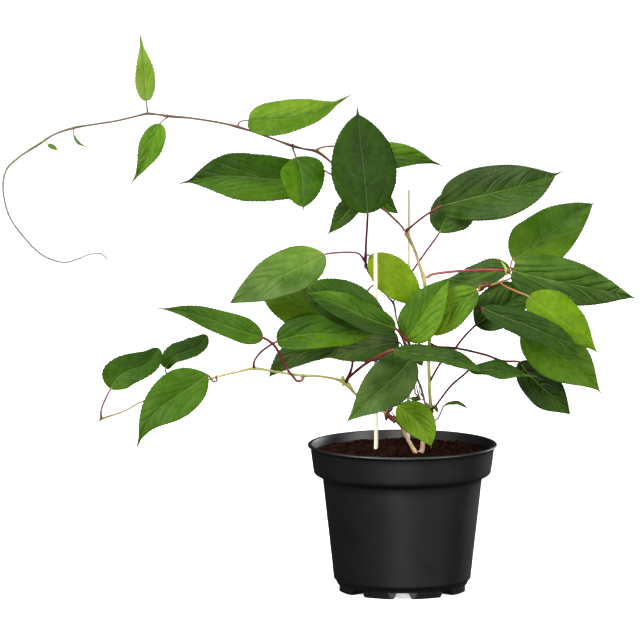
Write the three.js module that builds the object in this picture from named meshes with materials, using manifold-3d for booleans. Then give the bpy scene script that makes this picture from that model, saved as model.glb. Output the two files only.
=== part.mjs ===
// A young kiwi vine in a black nursery pot: pot, soil, two split canes, the vine's shoots with their
// leaf stalks, and its leaves.
// Millimetres, +Z up, -Y towards the front. The origin is the middle of the pot's base.

import * as THREE from 'three';
import { mergeVertices } from 'three/addons/utils/BufferGeometryUtils.js';
import Module from 'manifold-3d';

const wasm = await Module();
wasm.setup();

// Pot: a 3 litre nursery pot, from its lip down
const POT_HEIGHT = 148;
const RIM_RADIUS = 95;
const LIP_HEIGHT = 2.8;
const LIP_ROUNDING = 0.8;
const BAND_TOP_RADIUS = 92.2;
const BAND_FOOT_RADIUS = 89;
const BAND_FOOT_HEIGHT = 120;
const BAND_ROUNDING = 3;
const SHOULDER_RADIUS = 80;
const SHOULDER_HEIGHT = 113.5;
const BODY_FOOT_RADIUS = 68.7;
const BODY_FOOT_HEIGHT = 12.6;
const STEP_DEPTH = 3.2;
const STEP_HEIGHT = 8;
const SKIRT_RADIUS = 64.6;
const SKIRT_HEIGHT = 5;
const BASE_RADIUS = 64.3;
const WALL = 1.5;
const FLOOR = 8.6;
const POT_SIDES = 48;

// Drainage: notches round the pot's foot, each with a narrower channel in towards the middle
const NOTCH_COUNT = 8;
const NOTCH_WIDTH = 30;
const NOTCH_HEIGHT = 6.8;
const NOTCH_RADIUS = 63;
const CHANNEL_TOP_WIDTH = 12;
const CHANNEL_FOOT_WIDTH = 19.5;
const CHANNEL_END_RADIUS = 26;
const CUT_MARGIN = 1;

// Soil, with the plain round hole that the vine's foot stands in
const SOIL_LEVEL = 139.5;
const SOIL_EDGE = 89.1;
const SOIL_RINGS = 7;
const SOIL_SIDES = 40;
const CRUMB_HEIGHT = 0.9;
const CRUMB_LENGTH = 15;
const FOOT_HOLE = { x: 15.8, y: -8, topRadius: 6.8, footRadius: 5.2, height: 60, sides: 12 };

// Clearances
const SEAT_GAP = 0.35;
const STALK_GAP = 0.95;

// Leaf blades and shoots
const BLADE_THICKNESS = 0.8;
const BLADE_END_HALF_WIDTH = 0.5;
const TOOTH_DEPTH = 1.1;
const TOOTH_SPACING = 7;
const TIP_SLOPE = 0.16;
const EXTRA_ROWS = 2;
const STEM_STEP = 9;
const STALK_RADIUS = 0.9;
const STALK_SWELL = 1.2;
const STALK_SIDES = 4;
const STALK_STEP = 12;

// Places are measured as seen from the front with the eye a little above level, in millimetres:
// [across to the right of the pot's axis, up from the middle of its base, depth behind its axis].
const EYE_ELEVATION = THREE.MathUtils.degToRad(8.2);
const TO_EYE = new THREE.Vector3(0, -Math.cos(EYE_ELEVATION), Math.sin(EYE_ELEVATION));

function place([across, up, depth]) {
  const height = (up - depth * Math.sin(EYE_ELEVATION)) / Math.cos(EYE_ELEVATION);
  return new THREE.Vector3(across, depth, height);
}

// Materials
const finish = (color, roughness) => new THREE.MeshStandardMaterial({ color, roughness, metalness: 0 });

const SHADES = {
  lime: finish('#7ba02b', 0.5),
  fresh: finish('#668628', 0.5),
  mid: finish('#52721f', 0.5),
  dark: finish('#435f1b', 0.45),
  deep: finish('#324718', 0.45),
};
const POT_PLASTIC = finish('#2b2b2c', 0.55);
const SOIL_BROWN = finish('#2a1512', 1);
const CANE = finish('#f0ead0', 0.7);
const BARK = {
  main: finish('#a5a050', 0.7),
  upper: finish('#6b4a3a', 0.7),
  lower: finish('#b5b86a', 0.6),
  twig: finish('#4a2a24', 0.7),
  rose: finish('#a04c50', 0.6),
};

// Shoots: each route point is [across, up, depth, radius]; a larger radius is a leaf node.
const SHOOTS = {
  main_stem: {
    bark: BARK.main,
    sides: 6,
    routes: [
      [[15.6, 112, -8, 3.6], [15.6, 124, -8, 4.6], [16, 134, -8, 4.4], [19.5, 139.5, -8, 2.4],
        [20.5, 148, -7, 2.3], [23.5, 159, -5, 2.1], [28, 173, -3, 2], [28.5, 180, -2, 2.7],
        [28, 188, -1, 1.9], [27, 205, 1, 1.8], [26.5, 228, 4, 1.8], [27, 250, 5, 1.8],
        [25.5, 280, 6, 1.7], [22.5, 302, 7, 1.7], [21.5, 311, 8, 2.4], [17, 325, 9, 1.6],
        [10.5, 344, 10, 1.6], [3, 358, 11, 2.3]],
      [[15.6, 124, -8, 3], [12.5, 138, -8, 2.2], [8.5, 145, -8, 1.8], [3, 155.5, -8, 1.7],
        [-1.5, 164, -7, 1.6], [-5, 169, -6, 2.6], [-12, 174, -5, 1.5], [-15, 176, -5, 2.4],
        [-22, 181, -3, 1.4]],
      [[28.5, 180, -2, 1.5], [24.5, 183, -5.5, 1.3]],
    ],
  },
  upper_runner: {
    bark: BARK.upper,
    sides: 5,
    routes: [
      [[1.9, 359.2, 11.3, 1], [0.5, 361.8, 11.4, 1.2], [-3, 366, 12, 1.2], [-14.5, 377, 14, 1.2],
        [-30.5, 391, 17, 1.56], [-52.5, 410.5, 19, 1], [-57.5, 415, 19, 1.48], [-70.5, 427, 20, 1],
        [-86, 438.5, 20, 1.64], [-98, 441, 20, 1], [-110, 444, 19, 1.56], [-124, 449, 18, 1],
        [-137.5, 454, 17, 1], [-152, 459, 16, 1], [-165, 463, 15, 1.48], [-177, 466, 14, 1],
        [-210.5, 471.5, 11, 0.95], [-233.5, 473.5, 10, 1.4], [-244, 475, 9, 0.95],
        [-254.5, 476, 9, 1.33], [-266, 473.5, 8, 0.9], [-284.5, 469, 5, 0.9], [-312.5, 464.5, 0, 0.9],
        [-328.5, 461.5, -4, 1.25], [-347.5, 455, -9, 0.9], [-361.5, 446, -14, 1.25],
        [-382.5, 432, -23, 0.9], [-394.5, 420, -30, 0.9], [-398, 404, -36, 0.85],
        [-396, 387, -40, 0.85], [-391.5, 373, -42, 0.85], [-382.5, 359, -43, 0.85],
        [-365.5, 340, -42, 0.85], [-354, 332, -40, 0.85], [-337.5, 327.5, -35, 0.85],
        [-326, 330, -31, 0.81], [-312, 335.5, -26, 0.76], [-300.5, 336, -21, 0.76],
        [-294.5, 330.5, -19, 0.66]],
    ],
  },
  lower_runner: {
    bark: BARK.lower,
    sides: 5,
    routes: [
      [[-22.6, 181.5, -2.9, 1.4], [-34, 188, -1, 1.4], [-47, 196, 0, 1.4], [-56.5, 207, 2, 3],
        [-67.5, 211, 2, 1.4], [-84.5, 214, 0, 1.3], [-99, 214.5, -2, 1.7], [-125.5, 218, -6, 1.2],
        [-148.5, 221.5, -9, 1.6], [-165.5, 218, -12, 1.1], [-186.5, 213, -15, 1.4],
        [-222.5, 200, -18, 1], [-235.5, 196, -19, 1.3], [-261.5, 188, -22, 0.9],
        [-278, 179, -24, 0.9], [-301, 171, -26, 1.2], [-304, 168.5, -26, 0.8]],
    ],
  },
  centre_twig: {
    bark: BARK.twig,
    sides: 5,
    routes: [
      [[24, 183.4, -5.9, 1.2], [22.3, 188, -7, 1.1], [21, 193, -6.4, 1.3], [18.5, 202, -4.8, 1.3],
        [14, 214, -5, 1.1], [5.5, 238, -3, 2], [-5.5, 270, 18, 0.9], [-9, 287, 33, 1.3],
        [-14.5, 293, 35, 0.8], [-22.5, 305, 35, 1.1], [-30, 312, 34, 0.8], [-34.5, 319, 32, 0.9],
        [-37, 328, 29, 1.5]],
      [[-9, 287, 33, 0.8], [-7.5, 292, 33, 0.6]],
      [[21, 193, -6.4, 0.8], [17.5, 197, -9, 0.6], [16, 204, -9, 0.5]],
      [[-37, 328, 29, 0.8], [-38, 323, 27, 0.6], [-35, 320.5, 26, 0.5]],
    ],
  },
  right_shoot: {
    bark: BARK.rose,
    sides: 5,
    routes: [
      [[24.4, 312.3, 8, 1.5], [28, 315, 7, 1.4], [37.5, 317, 5, 1.35], [75, 320, 2, 1.3],
        [99.5, 319.5, 0, 1.3], [105.5, 318, 0, 1.9]],
      [[105.5, 318, 0, 1.2], [109.5, 313.5, -2, 1], [105.5, 310.5, -3.5, 1], [97.5, 308, -5, 1.4],
        [87.5, 304.5, -6, 1], [77.5, 304, -7, 1.2]],
      [[105.5, 318, 0, 1.2], [102.5, 323, -2, 1.3], [98.5, 328.5, -4, 0.5]],
    ],
  },
};

// Leaves: shade, the shoot that carries the leaf, the stalk's points before the blade, the blade's base
// and tip, and its width as seen. PLAIN gives what a leaf has where its own entry says nothing else:
//   turn: how far its face is turned up (or right) from the eye, in degrees
//   arch, sweep, curl: its bow towards the eye, its bow upwards and its S-bend, as parts of its length
//   fold: slope of its two halves, in radians
//   widest, drip: where along it that is, and how much of its length the drawn tip takes
//   heel, taper: how blunt (under 0.5) or pointed (over 0.5) the oval is at its base and at its tip
//   skew: how much wider its upper half is than its lower half
//   lean: the same, but only near its base, and the other way round near its tip
const PLAIN = {
  turn: 20, arch: 0.06, sweep: 0, curl: 0, fold: 0.2, widest: 0.38, heel: 0.5, taper: 0.9,
  drip: 0.08, skew: 0, lean: 0, stalkRadius: STALK_RADIUS,
};
const leaf = (shade, shoot, stalk, base, tip, wide, form = {}) => ({
  ...PLAIN, ...form, shade, shoot, stalk, base, tip, wide,
});

const LEAVES = {
  // Along the upper runner
  leaf_upper_1: leaf('lime', 'upper_runner', [[-254.5, 476, 9]], [-256, 489, 12], [-262.5, 557, 26],
    21.5, { turn: 10, arch: 0.03, sweep: 0.015, widest: 0.29, heel: 0.45, taper: 1.3, drip: 0.15,
    lean: -0.02, stalkRadius: 0.6 }),
  leaf_upper_2: leaf('fresh', 'upper_runner', [[-233.5, 473.5, 10], [-238, 470, 7]], [-242.5, 465.5, 4],
    [-271, 405.5, -20], 25.5, { turn: 15, sweep: -0.045, curl: 0.005, widest: 0.31, taper: 1.15,
    drip: 0.12, skew: 0.04, lean: -0.02, stalkRadius: 0.6 }),
  leaf_upper_3: leaf('lime', 'upper_runner', [[-165, 463, 15], [-162.5, 468, 14.5]], [-154, 469.5, 14],
    [-51, 495, 0], 35.5, { turn: 30, arch: 0.05, sweep: -0.085, curl: 0.005, widest: 0.28, heel: 0.35,
    taper: 0.75, drip: 0.16, skew: 0.04, lean: -0.08, stalkRadius: 0.65 }),
  leaf_upper_4: leaf('mid', 'upper_runner', [[-110, 444, 19], [-108.5, 438, 12]], [-106.5, 432.5, 6],
    [-98.5, 377.5, -20], 46.5, { turn: 8, sweep: 0.045, curl: 0.015, widest: 0.31, heel: 0.65,
    taper: 0.6, drip: 0.09, lean: 0.06 }),
  leaf_upper_5: leaf('mid', 'upper_runner', [[-86, 438.5, 20], [-82.5, 442, 25]], [-68, 444, 34],
    [40, 424.5, 46], 32.5, { turn: 22, curl: -0.03, widest: 0.35, heel: 0.45, taper: 1.1, drip: 0.07,
    skew: -0.02, lean: -0.02 }),
  leaf_upper_6: leaf('dark', 'upper_runner', [[-57.5, 415, 19], [-71.5, 416, 26]], [-78.5, 419.5, 27],
    [-223, 406, 2], 51, { turn: 24, arch: 0.05, sweep: -0.005, curl: -0.03, widest: 0.56, taper: 1.25,
    drip: 0.05, skew: -0.06, lean: 0.02 }),
  leaf_tiny_1: leaf('mid', 'upper_runner', [[-361.5, 446, -14], [-358, 448.5, -14]], [-353.5, 445, -14],
    [-343, 439, -19], 5, { arch: 0.1, stalkRadius: 0.5 }),
  leaf_tiny_2: leaf('mid', 'upper_runner', [[-328.5, 461.5, -4], [-328.5, 458, -5]], [-328, 454.5, -6],
    [-314.5, 442.5, -12], 3, { sweep: -0.15, stalkRadius: 0.5 }),

  // At the top of the main stem
  leaf_top_1: leaf('dark', 'centre_twig', [[-37, 328, 29], [-36.5, 345, 14]], [-35, 376.5, -12],
    [-45.5, 484.5, 4], 67.5, { turn: 10, arch: 0.05, curl: 0.005, widest: 0.4, taper: 0.75, drip: 0.09,
    skew: -0.02, lean: -0.02, stalkRadius: 0.95 }),
  leaf_top_2: leaf('dark', 'upper_runner', [[-30.5, 391, 17], [-33, 394.5, 11]], [-34.5, 394, 8],
    [-76.5, 354, -3], 22.5, { turn: 15, sweep: 0.04, curl: 0.02, widest: 0.39, heel: 0.45, taper: 1.05,
    drip: 0.07, skew: 0.1, lean: -0.02 }),
  leaf_top_3: leaf('dark', 'upper_runner', [[-57.5, 415, 19], [-50, 417, 26]], [-40, 413, 32],
    [-4, 376.5, 24], 24, { turn: 15, sweep: -0.015, curl: 0.015, taper: 1.1, drip: 0, skew: -0.06,
    lean: 0.02 }),

  // On the right
  leaf_right_1: leaf('dark', 'main_stem', [[3, 358, 11], [9.5, 364, 9], [23.5, 375, 4]], [39, 384, 0],
    [159.5, 418, -36], 56, { arch: 0.07, sweep: -0.015, curl: 0.005, widest: 0.49, heel: 0.35,
    drip: 0.06, skew: -0.06, lean: 0.22, stalkRadius: 1.1 }),
  leaf_right_2: leaf('dark', 'centre_twig', [[-22.5, 305, 35], [-8, 306, 41], [8, 317, 42],
    [17.5, 330, 32]], [37, 357.5, 10], [62, 402, 20], 45, { turn: 15, sweep: -0.01, curl: 0.03,
    widest: 0.48, heel: 0.6, taper: 0.45, drip: 0.05, skew: -0.12, lean: 0.06, stalkRadius: 0.8 }),
  leaf_right_3: leaf('mid', 'right_shoot', [[105.5, 318, 0], [108, 324, 6]], [110, 330.5, 12],
    [194, 388, 48], 56, { turn: 18, sweep: 0.005, curl: -0.015, widest: 0.25, heel: 0.45, drip: 0.04,
    skew: -0.04, lean: 0.02 }),
  leaf_right_4: leaf('mid', 'right_shoot', [[105.5, 318, 0]], [109.5, 319.5, -7], [235, 291.5, -6], 49,
    { turn: 8, arch: 0.03, sweep: -0.005, curl: -0.005, fold: 0.14, widest: 0.33, heel: 0.3,
    taper: 1.05, drip: 0.04, skew: 0.02, lean: 0.04 }),
  leaf_right_5: leaf('lime', 'right_shoot', [[97.5, 308, -5], [99.5, 305.5, -9], [112.5, 299, -16]],
    [125.5, 293.5, -21], [197, 234.5, -34], 44, { turn: 14, sweep: 0.035, curl: -0.005, widest: 0.35,
    taper: 1.4, drip: 0.04, skew: 0.02, stalkRadius: 1.1 }),
  leaf_right_6: leaf('dark', 'main_stem', [[25.5, 279, 6], [45, 280, 0], [62, 280.5, 2],
    [72, 281.5, -4], [78, 282, -9]], [79.5, 282, -27], [177, 231, -64], 28.5, { turn: 22, arch: 0.05,
    sweep: 0.05, curl: -0.015, widest: 0.47, heel: 0.45, taper: 0.45, drip: 0.06, skew: -0.02,
    lean: -0.02 }),
  leaf_right_7: leaf('mid', 'main_stem', [[26, 274, 6], [60, 279, 3], [80, 282, -2], [96, 275, -12],
    [112, 266, -10]], [121.5, 261, 0], [201, 194, -8], 53.5, { turn: 14, sweep: 0.035, curl: -0.015,
    widest: 0.4, taper: 1.35, drip: 0.05, skew: -0.06 }),
  leaf_right_8: leaf('deep', 'main_stem', [[26.5, 247, 5], [34, 243.5, 6], [52.5, 242, 7],
    [83.5, 235, 9], [100.5, 229, 9]], [117, 228, 8], [169, 174.5, 2], 38.5, { turn: 12, sweep: -0.015,
    curl: -0.015, widest: 0.49, taper: 1.25, drip: 0.01, skew: -0.04, lean: 0.1, stalkRadius: 1.05 }),
  leaf_right_9: leaf('deep', 'main_stem', [[27, 208, 2], [30.5, 214, 1], [37.5, 226, 1], [50.5, 239, 1],
    [61.5, 253, 3]], [73.5, 265, 6], [137.5, 305, 17], 45, { turn: 18, sweep: 0.015, heel: 0.55,
    taper: 0.8, drip: 0.1, skew: 0.08, lean: -0.04, stalkRadius: 0.95 }),
  leaf_right_10: leaf('dark', 'right_shoot', [[105.5, 318, 0], [109, 320, 5], [109.5, 322, 10]],
    [107, 322.5, 12.5], [42.5, 305.5, 26], 27, { turn: 15, sweep: -0.025, curl: 0.02, widest: 0.32,
    heel: 0.55, taper: 0.45, drip: 0, skew: 0.06, lean: 0.02 }),

  // In the middle
  leaf_middle_1: leaf('lime', 'centre_twig', [[-37, 328, 29], [-37.5, 334, 28]], [-32.5, 335, 26],
    [20.5, 283, 31], 39.5, { turn: 3, arch: 0, sweep: 0.005, curl: -0.005, fold: 0.05, widest: 0.42,
    heel: 0.6, taper: 0.85, drip: 0.04, skew: 0.02, lean: 0.02 }),
  leaf_middle_2: leaf('fresh', 'centre_twig', [[5.5, 238, -3], [7.5, 244, -10]], [4, 250.5, -18],
    [47, 312.5, -13], 44, { turn: 12, sweep: 0.015, curl: -0.01, widest: 0.3, taper: 1, drip: 0.01,
    skew: -0.02, lean: 0.02 }),
  leaf_middle_3: leaf('fresh', 'right_shoot', [[77.5, 304, -7]], [75.5, 298.5, -11], [13.5, 253.5, -6],
    39, { turn: 10, arch: 0.03, sweep: 0.01, curl: 0.015, fold: 0.12, widest: 0.48, taper: 0.85,
    skew: 0.04 }),
  leaf_middle_4: leaf('mid', 'centre_twig', [[5.5, 238, -3], [7, 246, -17], [-1.5, 255.5, -28]],
    [-7.5, 262, -36], [-98.5, 296.5, -58], 30, { turn: 25, sweep: 0.01, curl: -0.015, widest: 0.4,
    heel: 0.35, taper: 0.6, drip: 0.07, skew: -0.04, lean: 0.02, stalkRadius: 1.3 }),
  leaf_middle_5: leaf('dark', 'centre_twig', [[5.5, 238, -3], [-2, 255, -8], [-9, 264, -16]],
    [-17, 269.5, -22], [-100.5, 301, -44], 46, { turn: 15, sweep: 0.005, curl: -0.005, widest: 0.47,
    heel: 0.65, taper: 0.45, drip: 0.05, skew: 0.02 }),
  leaf_middle_6: leaf('mid', 'lower_runner', [[-148.5, 221.5, -9], [-148.5, 228, -12],
    [-142.5, 237, -17], [-133.5, 244, -21]], [-125.5, 248.5, -24], [-17.5, 259, -27], 36.5,
    { sweep: 0.02, curl: 0.025, widest: 0.31, heel: 0.4, taper: 1.05, skew: 0.06, stalkRadius: 1.1 }),
  leaf_middle_7: leaf('dark', 'lower_runner', [[-56.5, 207, 2], [-50, 226, 10], [-52, 239, 14]],
    [-58, 242, 15.5], [-135.5, 211, 8], 28, { turn: 5, arch: 0.03, sweep: 0.13, curl: -0.01, fold: 0.15,
    widest: 0.52, drip: 0.04, skew: 0.14, lean: -0.04, stalkRadius: 1.05 }),
  leaf_middle_8: leaf('dark', 'centre_twig', [[5.5, 238, -3], [0, 244, -7]], [-3.5, 247.5, -11],
    [-84, 231, -6], 33.5, { turn: 12, arch: 0.02, sweep: 0.02, curl: 0.005, fold: 0.1, widest: 0.29,
    heel: 0.3, taper: 1, drip: 0.12, skew: 0.04 }),

  // Left of the middle
  leaf_left_1: leaf('fresh', 'centre_twig', [[-37, 328, 29], [-43, 336, 22], [-48.5, 337.5, 17],
    [-62.5, 337.5, 7]], [-78, 335.5, -3], [-172.5, 286.5, -30], 48, { turn: 22, arch: 0.07, sweep: 0.01,
    curl: -0.01, widest: 0.37, heel: 0.6, taper: 1.05, drip: 0, skew: -0.04, lean: 0.06,
    stalkRadius: 1 }),
  leaf_left_2: leaf('mid', 'centre_twig', [[-22.5, 305, 35], [-29.5, 304.5, 31], [-34, 300.5, 24],
    [-49, 276.5, 9]], [-58.5, 271.5, 2], [-147.5, 302, 3], 49, { turn: 12, sweep: -0.015, curl: 0.005,
    widest: 0.47, taper: 0.85, drip: 0.07, lean: 0.02 }),

  // In front
  leaf_front_1: leaf('mid', 'centre_twig', [[5.5, 238, -3], [9, 236, -20]], [10, 233, -32],
    [-58, 166.5, -66], 49, { turn: 12, arch: 0.05, sweep: -0.01, curl: -0.01, heel: 0.6, taper: 1.5,
    drip: 0.02, skew: -0.06, lean: 0.1 }),
  leaf_front_2: leaf('dark', 'lower_runner', [[-56.5, 207, 2], [-55, 211, -4], [-47.5, 218, -14],
    [-37.5, 226, -30], [-25, 233, -46]], [-9.5, 240, -56], [80.5, 217.5, -66], 18.5, { turn: 60,
    arch: 0.08, sweep: 0.05, curl: -0.015, fold: 0.1, widest: 0.4, taper: 0.75, drip: 0.02, skew: 0.06,
    stalkRadius: 1.5 }),
  leaf_front_3: leaf('dark', 'main_stem', [[28.5, 180, -2], [33, 184, -5], [40, 193.5, -12],
    [49, 205, -20], [59.5, 214, -26]], [67.5, 220.5, -30], [133.5, 213.5, -46], 17.5, { turn: 60,
    arch: 0.08, sweep: 0.015, curl: 0.01, fold: 0.1, widest: 0.44, heel: 0.45, taper: 1.25, drip: 0.12,
    skew: 0.1, lean: 0.06, stalkRadius: 0.95 }),
  leaf_foot: leaf('fresh', 'main_stem', [[-5, 169, -6], [-6, 177, -12]], [-4, 184.5, -20],
    [29, 142, -42], 35, { turn: 10, sweep: 0.095, curl: -0.01, widest: 0.41, taper: 0.85, drip: 0.05,
    skew: 0.02, lean: 0.02 }),
  leaf_small_1: leaf('dark', 'main_stem', [[28, 173, -3], [34, 170, -9], [38.5, 178, -12]],
    [42, 185, -14], [67, 180, -22], 4.5, { turn: 30, sweep: 0.17, stalkRadius: 0.5 }),
  leaf_small_2: leaf('dark', 'main_stem', [[28.5, 180, -2], [22, 189, -5]], [18.5, 191, -6],
    [6, 191.5, -9], 5, { stalkRadius: 0.5 }),
  leaf_small_3: leaf('mid', 'main_stem', [[28.5, 180, -2], [30.5, 184, -5]], [32, 184.5, -9],
    [36, 176.5, -13], 4, { turn: 10, stalkRadius: 0.5 }),
  leaf_small_4: leaf('dark', 'centre_twig', [[5.5, 238, -3], [11, 237.5, -7]], [14, 236, -8],
    [20, 223, -12], 10, { turn: 10, stalkRadius: 0.5 }),

  // Low on the left
  leaf_low_1: leaf('mid', 'lower_runner', [[-99, 214.5, -2], [-101, 209.5, -4], [-105.5, 209, -7],
    [-109, 213, -9], [-116, 222, -13], [-128.5, 245, -26]], [-139.5, 252.5, -31], [-244.5, 281.5, -46],
    28, { turn: 25, sweep: 0.03, curl: -0.015, widest: 0.23, taper: 1.05, drip: 0.05, skew: 0.02,
    lean: 0.02, stalkRadius: 1.4 }),
  leaf_low_2: leaf('mid', 'lower_runner', [[-186.5, 213, -15], [-185.5, 209.5, -20],
    [-189.5, 209, -26]], [-195, 215.5, -31], [-266, 139.5, -54], 49, { turn: 10, arch: 0.07,
    sweep: 0.105, curl: -0.03, widest: 0.33, heel: 0.7, taper: 1.3, skew: -0.02, lean: 0.18 }),
  leaf_low_3: leaf('dark', 'lower_runner', [[-301, 171, -26], [-301, 180, -27]], [-291.5, 201, -27],
    [-243.5, 244, -16], 34, { turn: 10, sweep: -0.015, curl: 0.07, widest: 0.22, heel: 0.6, taper: 0.45,
    drip: 0.03, skew: 0.04, lean: 0.02 }),
  leaf_low_4: leaf('deep', 'lower_runner', [[-235.5, 196, -19], [-235.5, 214, -10]], [-237, 221.5, -6],
    [-196.5, 255.5, 2], 22, { sweep: -0.005, curl: 0.07, widest: 0.61, heel: 0.3, taper: 0.5, drip: 0,
    skew: 0.16, lean: 0.06 }),
};

// Solids from rings of points: each ring joins the next, and both ends are closed.
function skinRings(rings) {
  const count = rings[0].length;
  const positions = rings.flat().flatMap((point) => point.toArray());
  const faces = [];
  for (let r = 0; r < rings.length - 1; r++) {
    for (let k = 0; k < count; k++) {
      const near = r * count + k;
      const nearNext = r * count + (k + 1) % count;
      const far = near + count;
      const farNext = nearNext + count;
      if (k < count / 2) faces.push(near, nearNext, farNext, near, farNext, far);
      else faces.push(near, nearNext, far, nearNext, farNext, far);
    }
  }
  const last = (rings.length - 1) * count;
  for (let k = 1; k < count - 1; k++) {
    faces.push(0, k + 1, k);
    faces.push(last, last + k, last + k + 1);
  }
  const geometry = new THREE.BufferGeometry();
  geometry.setAttribute('position', new THREE.Float32BufferAttribute(positions, 3));
  geometry.setIndex(faces);
  return geometry;
}

function toSolid(geometry) {
  const bare = geometry.clone();
  bare.deleteAttribute('normal');
  bare.deleteAttribute('uv');
  const merged = mergeVertices(bare);
  const vertProperties = new Float32Array(merged.attributes.position.array);
  const triVerts = new Uint32Array(merged.index.array);
  return new wasm.Manifold(new wasm.Mesh({ numProp: 3, vertProperties, triVerts }));
}

function toGeometry(solid) {
  const mesh = solid.getMesh();
  const geometry = new THREE.BufferGeometry();
  geometry.setAttribute('position', new THREE.Float32BufferAttribute(mesh.vertProperties, 3));
  geometry.setIndex(Array.from(mesh.triVerts));
  return geometry;
}

// A round stem along a smooth route through its points, with a ring at each of them
function stem(points, radii, sides, step = STEM_STEP) {
  const curve = new THREE.CatmullRomCurve3(points, false, 'centripetal');
  const stops = points.length - 1;
  const centres = [];
  const widths = [];
  for (let i = 0; i < stops; i++) {
    const pieces = Math.max(1, Math.round(points[i].distanceTo(points[i + 1]) / step));
    for (let j = 0; j < pieces; j++) {
      centres.push(curve.getPoint((i + j / pieces) / stops));
      widths.push(THREE.MathUtils.lerp(radii[i], radii[i + 1], j / pieces));
    }
  }
  centres.push(points[stops]);
  widths.push(radii[stops]);
  const across = new THREE.Vector3(1, 0, 0);
  const rings = centres.map((centre, i) => {
    const before = centres[Math.max(i - 1, 0)];
    const after = centres[Math.min(i + 1, centres.length - 1)];
    const along = after.clone().sub(before).normalize();
    if (i === 0 && Math.abs(along.x) > 0.8) across.set(0, 1, 0);
    across.addScaledVector(along, -across.dot(along)).normalize();
    const around = along.clone().cross(across);
    return Array.from({ length: sides }, (_, k) => {
      const angle = 2 * Math.PI * k / sides;
      return centre.clone()
        .addScaledVector(across, widths[i] * Math.cos(angle))
        .addScaledVector(around, widths[i] * Math.sin(angle));
    });
  });
  return skinRings(rings);
}

function stalk({ stalk: route, base, stalkRadius }) {
  const points = [...route, base].map(place);
  const end = points[points.length - 1];
  const before = points[points.length - 2];
  end.addScaledVector(before.clone().sub(end).normalize(), STALK_GAP);
  const radii = points.map((_, i) => stalkRadius * (i === 0 ? STALK_SWELL : 1));
  return stem(points, radii, STALK_SIDES, STALK_STEP);
}

function shoot({ routes, sides }, stalks) {
  const tubes = routes.map((route) => stem(route.map(place), route.map((point) => point[3]), sides));
  return [...tubes, ...stalks].map(toSolid).reduce((whole, piece) => whole.add(piece));
}

// Half width of a blade at a part t of its length: an oval that runs out into a thin drawn tip
function reachAt(t, length, halfWidth, { widest, heel, taper, drip }) {
  const head = Math.min(Math.max(t - widest, 0) / (1 - drip - widest), 1);
  const oval = t < widest ? (1 - (1 - t / widest) ** 2) ** heel : (1 - head ** 2) ** taper;
  return Math.hypot(oval * halfWidth, TIP_SLOPE * length * Math.min(1 - t, drip));
}

// A leaf blade: toothed outline, halves sloping up from the midrib, bowed along its length
function blade(form) {
  const { turn, arch, sweep, curl, fold, skew, lean } = form;
  const foot = place(form.base);
  const along = place(form.tip).sub(foot);
  const length = along.length();
  along.normalize();
  const facing = TO_EYE.clone().addScaledVector(along, -TO_EYE.dot(along)).normalize();
  const upward = facing.clone().cross(along);
  if (upward.z + 0.2 * upward.x < 0) upward.negate();
  const angle = THREE.MathUtils.degToRad(turn);
  const face = facing.clone().multiplyScalar(Math.cos(angle)).addScaledVector(upward, Math.sin(angle));
  const side = upward.clone().multiplyScalar(Math.cos(angle)).addScaledVector(facing, -Math.sin(angle));
  const halfWidth = form.wide / 2 / Math.cos(angle);
  const rows = 2 * Math.max(3, Math.round(length / TOOTH_SPACING / 2)) + 1 + EXTRA_ROWS;
  const rings = [];
  for (let i = 0; i <= rows; i++) {
    const even = i / rows;
    const t = (even + (1 - Math.cos(Math.PI * even)) / 2) / 2;
    const climb = sweep * Math.sin(Math.PI * t) + curl * Math.sin(2 * Math.PI * t);
    const climbing = Math.PI * (sweep * Math.cos(Math.PI * t) + 2 * curl * Math.cos(2 * Math.PI * t));
    const middle = foot.clone()
      .addScaledVector(along, length * t)
      .addScaledVector(facing, length * arch * Math.sin(Math.PI * t))
      .addScaledVector(upward, length * climb);
    const tangent = along.clone()
      .addScaledVector(facing, arch * Math.PI * Math.cos(Math.PI * t))
      .addScaledVector(upward, climbing)
      .normalize();
    const across = side.clone().addScaledVector(tangent, -side.dot(tangent)).normalize();
    const outward = tangent.clone().cross(across);
    if (outward.dot(face) < 0) outward.negate();
    const full = reachAt(t, length, halfWidth, form);
    const notch = i % 2 === 1 && full > 3 * TOOTH_DEPTH ? TOOTH_DEPTH : 0;
    const reach = Math.max(full - notch, BLADE_END_HALF_WIDTH);
    const edge = (half) => middle.clone()
      .addScaledVector(across, half * Math.cos(fold))
      .addScaledVector(outward, Math.abs(half) * Math.sin(fold));
    const uneven = skew + lean * (1 - 2 * t);
    const points = [edge(-reach * (1 - uneven)), middle, edge(reach * (1 + uneven))];
    const lifted = (point, sign) => point.clone().addScaledVector(outward, sign * BLADE_THICKNESS / 2);
    rings.push([
      ...points.map((point) => lifted(point, 1)),
      ...points.reverse().map((point) => lifted(point, -1)),
    ]);
  }
  return rings;
}

// Turns a closed body's faces outwards
function facingOut(geometry) {
  const point = geometry.attributes.position;
  const index = geometry.index;
  const [a, b, c] = [new THREE.Vector3(), new THREE.Vector3(), new THREE.Vector3()];
  let volume = 0;
  for (let i = 0; i < index.count; i += 3) {
    a.fromBufferAttribute(point, index.getX(i));
    b.fromBufferAttribute(point, index.getX(i + 1));
    c.fromBufferAttribute(point, index.getX(i + 2));
    volume += a.dot(b.cross(c));
  }
  if (volume < 0) geometry.setIndex(Array.from(index.array).reverse());
  return geometry;
}

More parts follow.
